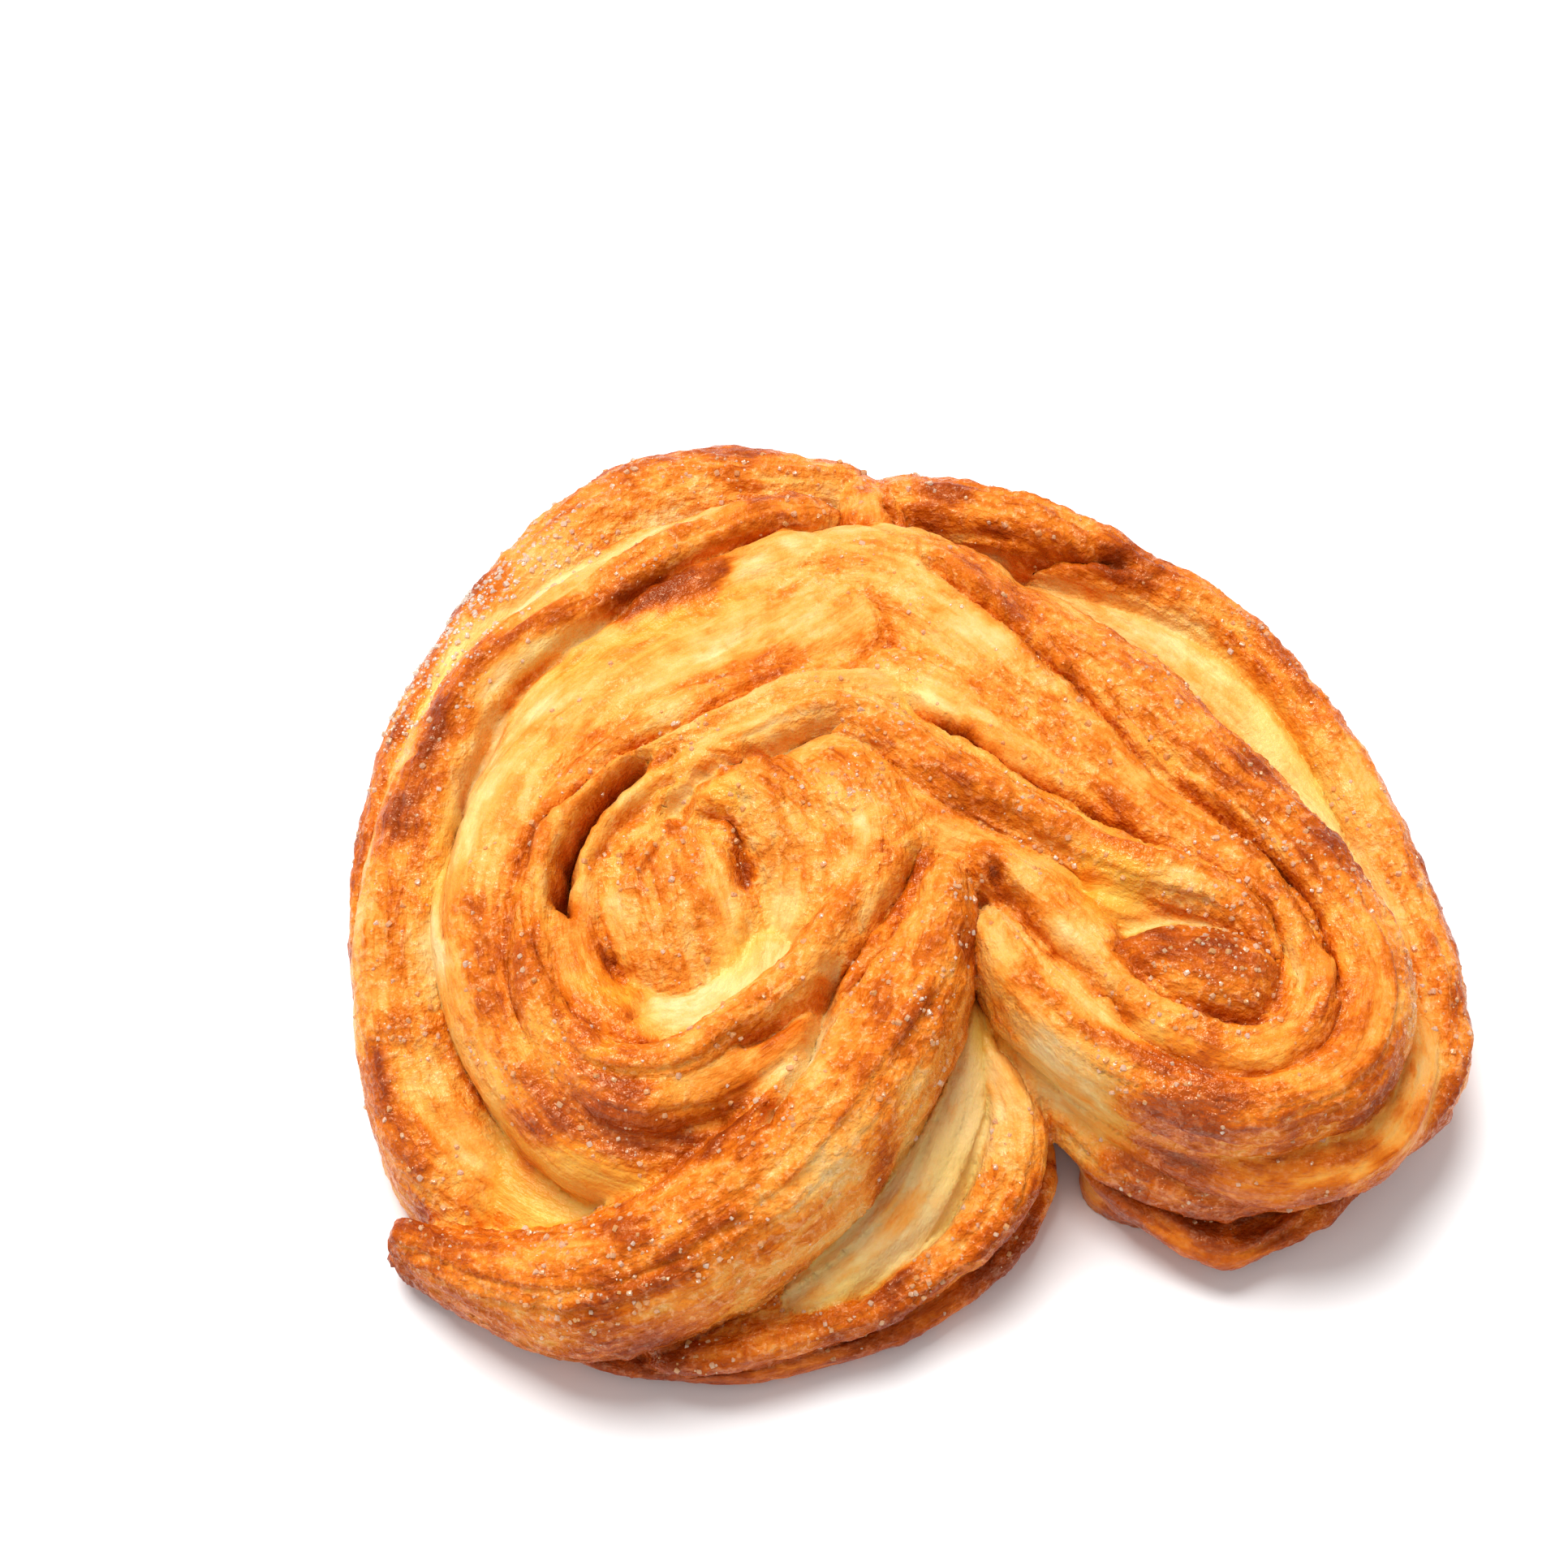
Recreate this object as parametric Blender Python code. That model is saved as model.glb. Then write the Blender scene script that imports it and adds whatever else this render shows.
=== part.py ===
"""A heart-shaped sweet bun, baked from one rolled and sugared strip of dough.

The roll was slit, opened out and turned back on itself, so that its layers lie
as folds side by side: a snail of folds on the left, long narrow loops on the
right, and a tail that comes off the middle and lies across the front.

Each fold is one rounded section carried along a smooth route. The folds are
fused into a single solid, and its underside is cut flat where it was baked.
The origin is on the flat underside, near the middle. Units: metres, +Z up.
"""
import bmesh
import bpy
import numpy as np

MM = 0.001

# Driving dimensions, in millimetres
RING_STEP = 5.0          # length of a fold between two of its sections
FEWEST_RINGS = 5         # sections of the shortest fold
DENSE_POINTS = 400       # points along a route from which its length is measured
TOP_POINTS = 7           # section points over a fold's top, edge to edge
BELOW_POINTS = 3         # section points around its hidden lower half
END_SIZE = 0.12          # size of a fold's last section, as a share of the full one
END_SINK = 0.8           # how far that section sinks, as a share of the fold's rise
SOLE_LEVEL = 0.0         # height at which the underside is cut flat
SOLE_CUT_DEPTH = 60.0    # depth of the block that cuts it, past the lowest fold
SOLE_CUT_WIDTH = 240.0   # width of that block, past the whole bun
KEPT_TRIANGLES = 8000    # triangles of the finished solid
CRUST_COLOUR = (0.66, 0.31, 0.075, 1.0)
CRUST_ROUGHNESS = 0.55
SMOOTH_BELOW = np.radians(50)

# A fold's outer edge is on the left or on the right of its route
LEFT_EDGE = -1
RIGHT_EDGE = 1

# The folds. Along a route, in plan, the other values are spaced evenly: the
# height of the crest, half the width, the rise from the widest level up to the
# crest, and the lean outwards in degrees. depth is the reach below that level.
# crown and foot shape the two halves of the section: 2 is an ellipse, and more
# is squarer. ends are the lengths over which the fold rounds off.
FOLDS = {
    # Left lobe, from the rim inwards
    "outer_rim": dict(
        route=[(-4, 65.5), (-17, 65), (-31, 64.2), (-53, 46), (-69, 9), (-62.4, -28), (-54.2, -38)],
        crest=(24, 28, 28, 25.5, 19.5, 11), half_width=(4, 7, 6, 5, 5), rise=(6, 8, 8, 6),
        lean=(0, 10, 15, 15), depth=13, foot=2.0, ends=(6, 12), edge=RIGHT_EDGE),
    "inner_rim": dict(
        route=[(-9, 58), (-17, 56), (-27, 50), (-59, 21), (-58, -30), (-50, -37)],
        crest=(27, 31.5, 32, 32, 30, 26, 19.5, 14), half_width=(2, 6, 6.2, 6, 7, 9),
        rise=(4, 7, 7, 7, 7, 7), lean=(0, -20, -15, -5, 0, 0), depth=18, crown=2.5, edge=RIGHT_EDGE),
    "wide_sheet": dict(
        route=[(4, 49), (-4, 46), (-13, 39), (-43, 16), (-51, -4), (-36, -32), (-26, -33), (-11, -17),
               (0, -2)],
        crest=(29, 33, 33.5, 31, 28, 32.5), half_width=(6, 12, 13, 11.5, 11.5, 12, 9, 3.5),
        rise=(6, 6, 10, 6), lean=(0, 6, 8, 8, 12, 20, 10, 0), depth=20, crown=3.0, edge=RIGHT_EDGE),
    "sheet_edge": dict(
        route=[(-10, 51.5), (-15.5, 49.5), (-26, 44.5), (-36, 36.5), (-50, 21.5), (-55, 3), (-56, -12)],
        crest=(30, 31.6, 31, 29.5, 27.3, 24), half_width=(3, 5.5, 5.5, 5.5), rise=(5,), depth=18,
        crown=3.0, edge=RIGHT_EDGE),
    "coil": dict(
        route=[(3, 33), (-6, 33), (-15, 30), (-46, 6), (-43, -24), (-35, -28), (-16, -19), (-8, -12),
               (2, 4)],
        crest=(28.5, 34, 35, 34, 32.5, 34, 34), half_width=(3, 5, 4, 5, 5, 3), rise=(7, 7, 7, 7, 5),
        lean=(0, -5, -10, -5, 10, 5, 0), depth=15, crown=1.7, edge=RIGHT_EDGE),
    "coil_foot": dict(
        route=[(-50, 2), (-49, -10), (-44.5, -23), (-36, -31), (-27, -29.5), (-17, -22.5), (-9, -13)],
        crest=(30.5, 32, 32.8, 33, 32.5), half_width=(2.5, 3.6, 3.8, 3.2), rise=(4,), depth=12,
        edge=RIGHT_EDGE),
    "coil_lip": dict(
        route=[(-45, -18), (-40, -26), (-31, -27.5), (-24, -23), (-14, -14), (-5, 0), (1, 7)],
        crest=(32.5, 35, 36, 36, 35.5), half_width=(1.8, 2.4, 2.6, 2.0), rise=(3, 4, 3), depth=12,
        edge=RIGHT_EDGE),
    "band": dict(
        route=[(0, 26.5), (-15, 24.5), (-27, 19.5), (-35, 15.5), (-42, 10), (-46.5, 4.5), (-47.5, -2),
               (-47, -9), (-43, -15)],
        crest=(34, 35.5, 35, 34.5, 33.5, 32), half_width=(3, 3.2, 2.6, 1.9, 2.2, 2.6), rise=(3, 4, 4),
        depth=14, edge=RIGHT_EDGE),
    "belly": dict(
        route=[(-57, -21), (-46, -34), (-34, -38), (-21, -34)],
        crest=(15, 16.5, 21), half_width=(8, 10, 8), rise=(7, 8), depth=14, edge=RIGHT_EDGE),
    # The heart of the snail
    "mound": dict(
        route=[(-33, 10), (-30, -2), (-26, -16)],
        crest=(33, 34.5, 31), half_width=(7, 12, 12.5, 9), rise=(7, 8, 7), depth=14, crown=2.2,
        ends=(8, 8), edge=RIGHT_EDGE),
    "mound_top": dict(
        route=[(-32, 11), (-21, 10), (-14, 1), (-16, -12)],
        crest=(34.8, 36, 34.6, 31), half_width=(6, 8.5, 8, 6), rise=(6,), depth=14, crown=2.4,
        edge=RIGHT_EDGE),
    "basin": dict(
        route=[(-40, -14), (-36, -21), (-28, -22), (-20.5, -16), (-18.5, -7)],
        crest=(30.5, 30.5, 31.3, 32), half_width=(5, 6.5, 5.5, 4), rise=(5,), depth=14, crown=2.6,
        edge=RIGHT_EDGE),
    "mound_flap": dict(
        route=[(-14, 16.5), (-8, 8.5), (-7, -1), (-14, -14)],
        crest=(35, 36.5, 35, 31.5), half_width=(5.5, 10.5, 10, 4.5), rise=(6, 7, 6), depth=14,
        edge=RIGHT_EDGE),
    "arch": dict(
        route=[(-42, -6), (-42, 0), (-37, 8), (-21, 20), (-10, 22.5), (6, 11), (26, 0), (42, -8),
               (45, -14)],
        crest=(31, 34.5, 36, 37, 36.5, 34), half_width=(2, 4, 4.5, 4.5, 4, 3), rise=(5, 6, 5), depth=16,
        crown=1.7, edge=RIGHT_EDGE),
    "arch_foot": dict(
        route=[(-34, 7), (-11, 16), (5, 6), (32, -6)],
        crest=(32, 34.3, 33), half_width=(6, 7, 4.5), rise=(6, 6, 5), depth=16, edge=RIGHT_EDGE),
    # The tail and the layers that come out under it
    "tail": dict(
        route=[(4, 2), (3, -7), (-26, -46), (-36, -50), (-66.3, -39.6)],
        crest=(35, 35, 26.5, 12), half_width=(3, 9.5, 9.5, 1.6), rise=(6, 12, 14, 12, 4),
        lean=(0, 10, 10, 0), depth=11, foot=2.0, ends=(5, 3), edge=LEFT_EDGE),
    "under_tail": dict(
        route=[(6, -10), (5, -24), (-7, -45), (-17, -51)],
        crest=(23, 12), half_width=(3, 7, 6), rise=(6,), lean=(0, 0, 15, 20), depth=14, edge=LEFT_EDGE),
    "upper_layer": dict(
        route=[(7, -6), (10, -18), (14, -28.5), (13.6, -36.3), (-0.6, -49.6), (-23, -57.4), (-34, -58.4)],
        crest=(20, 20.5, 13.5, 11, 9), half_width=(2.5, 4.5, 4, 3.5, 2.5), rise=(6, 8, 7),
        lean=(0, 5, 40, 45, 45, 45), depth=10, edge=LEFT_EDGE),
    "lowest_layer": dict(
        route=[(15, -22), (17, -30), (13.2, -39.8), (1.8, -49.6), (-27, -57.4), (-50, -51), (-57.5, -44)],
        crest=(10, 5, 4.5, 4.5, 4.5), half_width=(3,), rise=(5, 7, 7), lean=(20, 50, 55, 55, 55),
        depth=10, foot=2.0, edge=LEFT_EDGE),
    # Right lobe, from the rim inwards
    "right_rim": dict(
        route=[(-8, 63.5), (1, 61), (10, 59.5), (20, 55.5), (41.3, 44.3), (62.8, 11), (65.5, -25),
               (57, -32.5), (38, -38), (12, -20), (8, -8)],
        crest=(25, 28, 25, 21, 19, 18, 17, 15.5, 17, 24), half_width=(4, 5, 5, 5, 5, 5, 4.5, 4.5, 3),
        rise=(6, 8, 8, 8, 9, 8), lean=(0, 10, 10, 15, 35, 45, 20), depth=14, edge=LEFT_EDGE),
    "valley": dict(
        route=[(7, 60), (23, 50), (35, 41), (63, -5.5), (62, -18)],
        crest=(20, 21.5, 16.5, 15), half_width=(5, 8.5, 8.5), rise=(6,), lean=(0, 10), depth=16,
        crown=2.4, edge=LEFT_EDGE),
    "outer_loop": dict(
        route=[(1, 50), (35, 20), (51, 0), (57, -19), (54, -27), (45, -32), (11, -12), (8, -4)],
        crest=(28, 32.5, 34, 34.5, 34.5, 33.5, 33, 32.5, 32.5, 33.5, 33),
        half_width=(2.5, 6.5, 6.5, 6, 6.5, 6.5, 6.5, 3.5), rise=(5, 9, 9, 9, 10, 10, 8),
        lean=(0, 0, 5, 5, 20, 20, 5), depth=14, foot=2.2, edge=LEFT_EDGE),
    "inner_loop": dict(
        route=[(-20, 43), (-12, 46), (33, 7), (41, 1), (49, -14), (47, -22), (41, -25.4), (33, -22.4),
               (13, -2), (6, 3)],
        crest=(29, 33.5, 34.5, 34, 34.5, 35.5), half_width=(6, 10.5, 8, 4, 4.5, 5, 3),
        rise=(6, 7, 6, 6, 5), depth=18, crown=2.4, edge=LEFT_EDGE),
    "loop_foot": dict(
        route=[(-6, 32.5), (2, 26.5), (11.5, 18), (23, 8.5)],
        crest=(33, 34.2, 34.2, 33.2), half_width=(3.5, 5.4, 5.2, 3.4), rise=(5,), depth=14, crown=2.6,
        edge=LEFT_EDGE),
    "front_wall": dict(
        route=[(65, -12), (64.5, -23), (58, -34.5), (45, -38.5), (27, -31.5), (12, -19)],
        crest=(19, 20.5, 21, 21.5, 21), half_width=(3, 4, 4.5, 4, 2.5), rise=(5,),
        lean=(25, 45, 50, 50, 30), depth=14, crown=2.4, edge=LEFT_EDGE),
    "eye": dict(
        route=[(23.8, -11.8), (30, -12.8), (37, -15.3), (44.6, -17.6)],
        crest=(34, 36.4, 36.6, 35.2), half_width=(0.9, 5.1, 6.5, 5.2), rise=(4, 6, 7, 6), depth=14,
        crown=2.2, ends=(2, 4), edge=LEFT_EDGE),
    "eye_bed": dict(
        route=[(24, -5), (31, -10), (41, -12), (46, -18)],
        crest=(31, 32, 31), half_width=(5, 7, 8.5, 5), rise=(6,), depth=14, ends=(4, 4), edge=LEFT_EDGE),
    "front_layer": dict(
        route=[(18.5, -22), (21.3, -29.5), (29.5, -38), (39.5, -42.8), (48.2, -38.6), (61.5, -26),
               (68.5, -14)],
        crest=(12, 9, 6.5, 6.5, 7.5), half_width=(2, 3.5, 3.5, 3.5), rise=(6, 8, 8, 8),
        lean=(20, 50, 55, 55, 55), depth=10, foot=2.0, edge=RIGHT_EDGE),
    # The pinch at the back, where the strip was tucked in
    "pinch": dict(
        route=[(-12, 67.5), (-6, 62), (-5, 54), (-7, 47)],
        crest=(20, 26, 28, 28), half_width=(3, 4.5, 6), rise=(5,), depth=12, edge=LEFT_EDGE),
    # The two lower turns of dough, round the sides and the back
    "side_layer": dict(
        route=[(-53.5, -38), (-67.5, -12), (-67, 16), (-52.5, 45), (-29, 64), (0, 63), (30.3, 52.4),
               (54.5, 31.5), (69, 0.5), (68, -16)],
        crest=(12, 15, 17, 18, 17, 14, 12), half_width=(4.5,), rise=(9,), lean=(50, 60, 50), depth=12,
        foot=2.0, edge=LEFT_EDGE),
    "back_layer": dict(
        route=[(-54.5, -39.5), (-69.5, -10), (-68, 20), (-52.5, 49), (-29, 67), (0, 65), (30, 54.4),
               (56.5, 31.5), (71.5, -4), (69, -19)],
        crest=(6, 7.5, 8, 8, 7, 6), half_width=(4,), rise=(9,), lean=(50, 55, 50), depth=12, foot=2.0,
        edge=LEFT_EDGE),
}

# The dough under the folds, as squat domes on the sole: middle, half axes, turn, height
CORES = [
    ((-32, 10), (32, 43), 10, 22),
    ((-30, -36), (27, 16), -15, 14),
    ((35, 5), (28, 38), 35, 20),
    ((40, -26), (19, 9), 12, 13),
    ((0, 34), (38, 24), 0, 21),
    ((3, -10), (17, 25), 0, 15),
]
CORE_RINGS = 7
CORE_SIDES = 22
CORE_SIDE_POWER = 0.4    # below 1 the side of a core stands steeper
CORE_TOP_POWER = 0.8     # below 1 its top is flatter
CORE_BELOW_SOLE = 1.0    # level of its widest part, below the cut underside
CORE_TIP = 0.06          # angle of its first and last rings from its axis, in radians


def smooth_through(points, place, wanted):
    """Values on the smooth cubic that passes through each point at its place."""
    gap = np.diff(place)[:, None]
    slope = np.diff(points, axis=0) / gap
    lean_to = np.empty_like(points)
    lean_to[1:-1] = (slope[:-1] * gap[1:] + slope[1:] * gap[:-1]) / (gap[1:] + gap[:-1])
    lean_to[0] = 1.5 * slope[0] - 0.5 * (lean_to[1] if len(points) > 2 else slope[0])
    lean_to[-1] = 1.5 * slope[-1] - 0.5 * (lean_to[-2] if len(points) > 2 else slope[-1])
    first = np.clip(np.searchsorted(place, wanted, side="right") - 1, 0, len(place) - 2)
    span = gap[first]
    t = (wanted - place[first])[:, None] / span
    return ((1 + 2 * t) * (1 - t) ** 2 * points[first] + t * (1 - t) ** 2 * span * lean_to[first]
            + t * t * (3 - 2 * t) * points[first + 1] + t * t * (t - 1) * span * lean_to[first + 1])


def running_length(points):
    """Distance along a row of points, from its first one."""
    return np.concatenate([[0.0], np.cumsum(np.linalg.norm(np.diff(points, axis=0), axis=1))])


def even_route(route, step):
    """Points at even steps along the smooth curve through a route, and their distances."""
    route = np.array(route, float)
    place = running_length(route)
    dense_place = np.linspace(0, place[-1], DENSE_POINTS)
    dense_length = running_length(smooth_through(route, place, dense_place))
    count = max(FEWEST_RINGS, int(round(dense_length[-1] / step)) + 1)
    length = np.linspace(0, dense_length[-1], count)
    return smooth_through(route, place, np.interp(length, dense_length, dense_place)), length


def along(values, count):
    """A few evenly spaced values as a smooth run of count values."""
    values = np.array(values, float)[:, None]
    if len(values) == 1:
        return np.full(count, values[0, 0])
    return smooth_through(values, np.linspace(0, 1, len(values)), np.linspace(0, 1, count))[:, 0]


def section_angles():
    """Angles round a section: close together over the top, wide apart below."""
    top = np.linspace(0, np.pi, TOP_POINTS)
    below = np.linspace(np.pi, 2 * np.pi, BELOW_POINTS + 2)[1:-1]
    return np.concatenate([top, below])


def fold_grid(route, crest, half_width, rise, depth, edge, lean=(0,), crown=2.0, foot=3.0, ends=(6, 6)):
    """Points of a fold, one row to a section, in millimetres.

    The section is half a superellipse over the widest level and half of another
    below it. It turns about its crest by the lean, so the crest stays on the route,
    and it shrinks to a small oval over the fold's two ends.
    """
    middle, length = even_route(route, RING_STEP)
    count = len(middle)
    crest, half_width, rise, lean = (along(v, count) for v in (crest, half_width, rise, lean))
    ahead = np.gradient(middle, axis=0)
    ahead /= np.linalg.norm(ahead, axis=1)[:, None]
    outwards = np.stack([ahead[:, 1], -ahead[:, 0]], axis=1) * edge

    into_end = np.minimum(length / ends[0], (length[-1] - length) / ends[1]).clip(0, 1)
    size = END_SIZE + (1 - END_SIZE) * np.sqrt(1 - (1 - into_end) ** 2)

    angle = section_angles()
    power = np.where(np.sin(angle) >= 0, 2 / crown, 2 / foot)
    across = np.sign(np.cos(angle)) * np.abs(np.cos(angle)) ** power
    up = np.sign(np.sin(angle)) * np.abs(np.sin(angle)) ** power
    side = (half_width * size)[:, None] * across
    height = np.where(up > 0, rise[:, None], depth) * size[:, None] * up

    tilt = np.radians(lean)[:, None]
    below_crest = height - (rise * (size + END_SINK * (1 - size)))[:, None]
    out = side * np.cos(tilt) + below_crest * np.sin(tilt)
    level = below_crest * np.cos(tilt) - side * np.sin(tilt) + crest[:, None]
    return np.dstack([middle[:, :1] + outwards[:, :1] * out, middle[:, 1:] + outwards[:, 1:] * out, level])


def core_grid(centre, half_axes, turn, height):
    """Points of a squat dome that is widest at the sole, one row to a level, in millimetres."""
    round_it = np.linspace(0, 2 * np.pi, CORE_SIDES, endpoint=False)
    down_it = np.linspace(CORE_TIP, np.pi - CORE_TIP, CORE_RINGS)[:, None]
    spread = np.sin(down_it) ** CORE_SIDE_POWER
    x = half_axes[0] * np.cos(round_it) * spread
    y = half_axes[1] * np.sin(round_it) * spread
    share = np.sign(np.cos(down_it)) * np.abs(np.cos(down_it)) ** CORE_TOP_POWER
    level = SOLE_LEVEL - CORE_BELOW_SOLE + (height + CORE_BELOW_SOLE) * share
    c, s = np.cos(np.radians(turn)), np.sin(np.radians(turn))
    return np.dstack([centre[0] + x * c - y * s, centre[1] + x * s + y * c, level * np.ones_like(x)])


def closed_mesh(name, grid):
    """A mesh from rows of points that close round: quads between rows, and capped ends."""
    rows, sides, _ = grid.shape
    row, side = np.meshgrid(np.arange(rows - 1), np.arange(sides), indexing="ij")
    here = row * sides + side
    beside = row * sides + (side + 1) % sides
    quads = np.stack([here, beside, beside + sides, here + sides], axis=-1).reshape(-1, 4)
    caps = [list(range(sides)), list(range((rows - 1) * sides, rows * sides))]
    mesh = bpy.data.meshes.new(name)
    mesh.from_pydata((grid.reshape(-1, 3) * MM).tolist(), [], quads.tolist() + caps)
    shape = bmesh.new()
    shape.from_mesh(mesh)
    bmesh.ops.recalc_face_normals(shape, faces=shape.faces)
    bmesh.ops.triangulate(shape, faces=shape.faces)
    shape.to_mesh(mesh)
    shape.free()
    return mesh


def add_object(name, mesh, collection):
    piece = bpy.data.objects.new(name, mesh)
    collection.objects.link(piece)
    return piece


def apply_modifiers(piece):
    """Replaces an object's mesh by the mesh that its modifiers make of it."""
    evaluated = piece.evaluated_get(bpy.context.evaluated_depsgraph_get())
    finished = bpy.data.meshes.new_from_object(evaluated)
    piece.modifiers.clear()
    piece.data = finished


def fuse(first, others):
    """Joins the objects of a collection to one object, and removes them."""
    union = first.modifiers.new("fuse", "BOOLEAN")
    union.operation = "UNION"
    union.operand_type = "COLLECTION"
    union.collection = others
    union.solver = "MANIFOLD"
    apply_modifiers(first)
    for piece in list(others.objects):
        bpy.data.objects.remove(piece)
    bpy.data.collections.remove(others)


def cut_sole(piece):
    """Cuts the underside flat at the sole level."""
    half = SOLE_CUT_WIDTH / 2
    low = SOLE_LEVEL - SOLE_CUT_DEPTH
    block = bmesh.new()
    bmesh.ops.create_cube(block, size=1.0)
    for corner in block.verts:
        corner.co.x *= 2 * half * MM
        corner.co.y *= 2 * half * MM
        corner.co.z = (SOLE_LEVEL if corner.co.z > 0 else low) * MM
    mesh = bpy.data.meshes.new("sole_cutter")
    block.to_mesh(mesh)
    block.free()
    cutter = add_object("sole_cutter", mesh, bpy.context.scene.collection)
    cut = piece.modifiers.new("sole", "BOOLEAN")
    cut.operation = "DIFFERENCE"
    cut.object = cutter
    cut.solver = "MANIFOLD"
    apply_modifiers(piece)
    bpy.data.objects.remove(cutter)


def keep_main_body(piece):
    """Drops the scraps and fills the sealed pockets that fusing leaves."""
    shape = bmesh.new()
    shape.from_mesh(piece.data)
    unseen = set(shape.verts)
    bodies = []
    while unseen:
        body = [unseen.pop()]
        for corner in body:
            for edge in corner.link_edges:
                beside = edge.other_vert(corner)
                if beside in unseen:
                    unseen.remove(beside)
                    body.append(beside)
        bodies.append(body)
    bodies.sort(key=len)
    scraps = [corner for body in bodies[:-1] for corner in body]
    bmesh.ops.delete(shape, geom=scraps, context="VERTS")
    shape.to_mesh(piece.data)
    shape.free()


def even_out(piece):
    """Merges the slivers along the creases into fewer, better shaped triangles."""
    evener = piece.modifiers.new("even", "DECIMATE")
    evener.decimate_type = "COLLAPSE"
    evener.ratio = KEPT_TRIANGLES / sum(len(face.vertices) - 2 for face in piece.data.polygons)
    evener.use_collapse_triangulate = True
    apply_modifiers(piece)


def crust():
    """Golden brown baked crust."""
    material = bpy.data.materials.new("baked_crust")
    material.use_nodes = True
    shader = material.node_tree.nodes["Principled BSDF"]
    shader.inputs["Base Color"].default_value = CRUST_COLOUR
    shader.inputs["Roughness"].default_value = CRUST_ROUGHNESS
    shader.inputs["Metallic"].default_value = 0.0
    return material


for old in list(bpy.data.objects):
    bpy.data.objects.remove(old)

main_fold, *other_folds = FOLDS
folds = bpy.data.collections.new("folds")
bpy.context.scene.collection.children.link(folds)
for name in other_folds:
    add_object(name, closed_mesh(name, fold_grid(**FOLDS[name])), folds)
for number, core in enumerate(CORES, start=1):
    name = "core_%d" % number
    add_object(name, closed_mesh(name, core_grid(*core)), folds)

bun = add_object("bun", closed_mesh("bun", fold_grid(**FOLDS[main_fold])), bpy.context.scene.collection)
fuse(bun, folds)
cut_sole(bun)
keep_main_body(bun)
even_out(bun)
bun.data.materials.clear()
bun.data.materials.append(crust())
bun.data.shade_smooth()
bun.data.set_sharp_from_angle(angle=SMOOTH_BELOW)
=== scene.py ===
"""A heart-shaped sugared sweet bun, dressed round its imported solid."""

import bpy
import numpy as np
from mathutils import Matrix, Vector


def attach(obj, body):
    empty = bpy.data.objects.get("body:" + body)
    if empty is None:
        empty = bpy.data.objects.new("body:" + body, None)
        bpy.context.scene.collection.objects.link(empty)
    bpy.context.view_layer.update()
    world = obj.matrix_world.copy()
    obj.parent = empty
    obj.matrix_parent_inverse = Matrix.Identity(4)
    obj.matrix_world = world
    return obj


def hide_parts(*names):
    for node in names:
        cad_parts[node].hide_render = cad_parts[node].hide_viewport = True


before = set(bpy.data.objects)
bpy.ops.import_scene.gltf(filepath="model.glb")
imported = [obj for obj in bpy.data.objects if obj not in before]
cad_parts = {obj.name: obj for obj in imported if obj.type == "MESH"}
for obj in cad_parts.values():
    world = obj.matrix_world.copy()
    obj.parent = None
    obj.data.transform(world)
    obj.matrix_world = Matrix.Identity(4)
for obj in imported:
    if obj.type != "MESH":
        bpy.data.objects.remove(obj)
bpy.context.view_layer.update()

# The camera stands in front of the bun and looks down on it steeply, as the
# photograph does. The lens is long, so the far rim is hardly smaller.
CAMERA_PLACE = (-0.0168, -0.2767, 0.5331)
CAMERA_LOOKS_DOWN = np.radians(60)
CAMERA_LENS = 104.0
CAMERA_SENSOR = 36.0
CAMERA_SEES_FROM = 0.01

lens = bpy.data.cameras.new("camera")
lens.lens = CAMERA_LENS
lens.sensor_width = CAMERA_SENSOR
lens.clip_start = CAMERA_SEES_FROM
camera = bpy.data.objects.new("camera", lens)
camera.location = CAMERA_PLACE
camera.rotation_euler = (np.pi / 2 - CAMERA_LOOKS_DOWN, 0, 0)
bpy.context.scene.collection.objects.link(camera)
bpy.context.scene.camera = camera

# The bun: one strip of yeast dough, rolled up with sugar and slit, so that its
# layers open into folds. Each fold is a rounded section carried along a smooth
# route; in the oven they swell together into one crust.
MM = 0.001
RING_STEP = 0.9
SECTION_POINTS = 52
END_SIZE = 0.12
END_SINK = 0.8
LEFT_EDGE = -1
RIGHT_EDGE = 1

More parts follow.
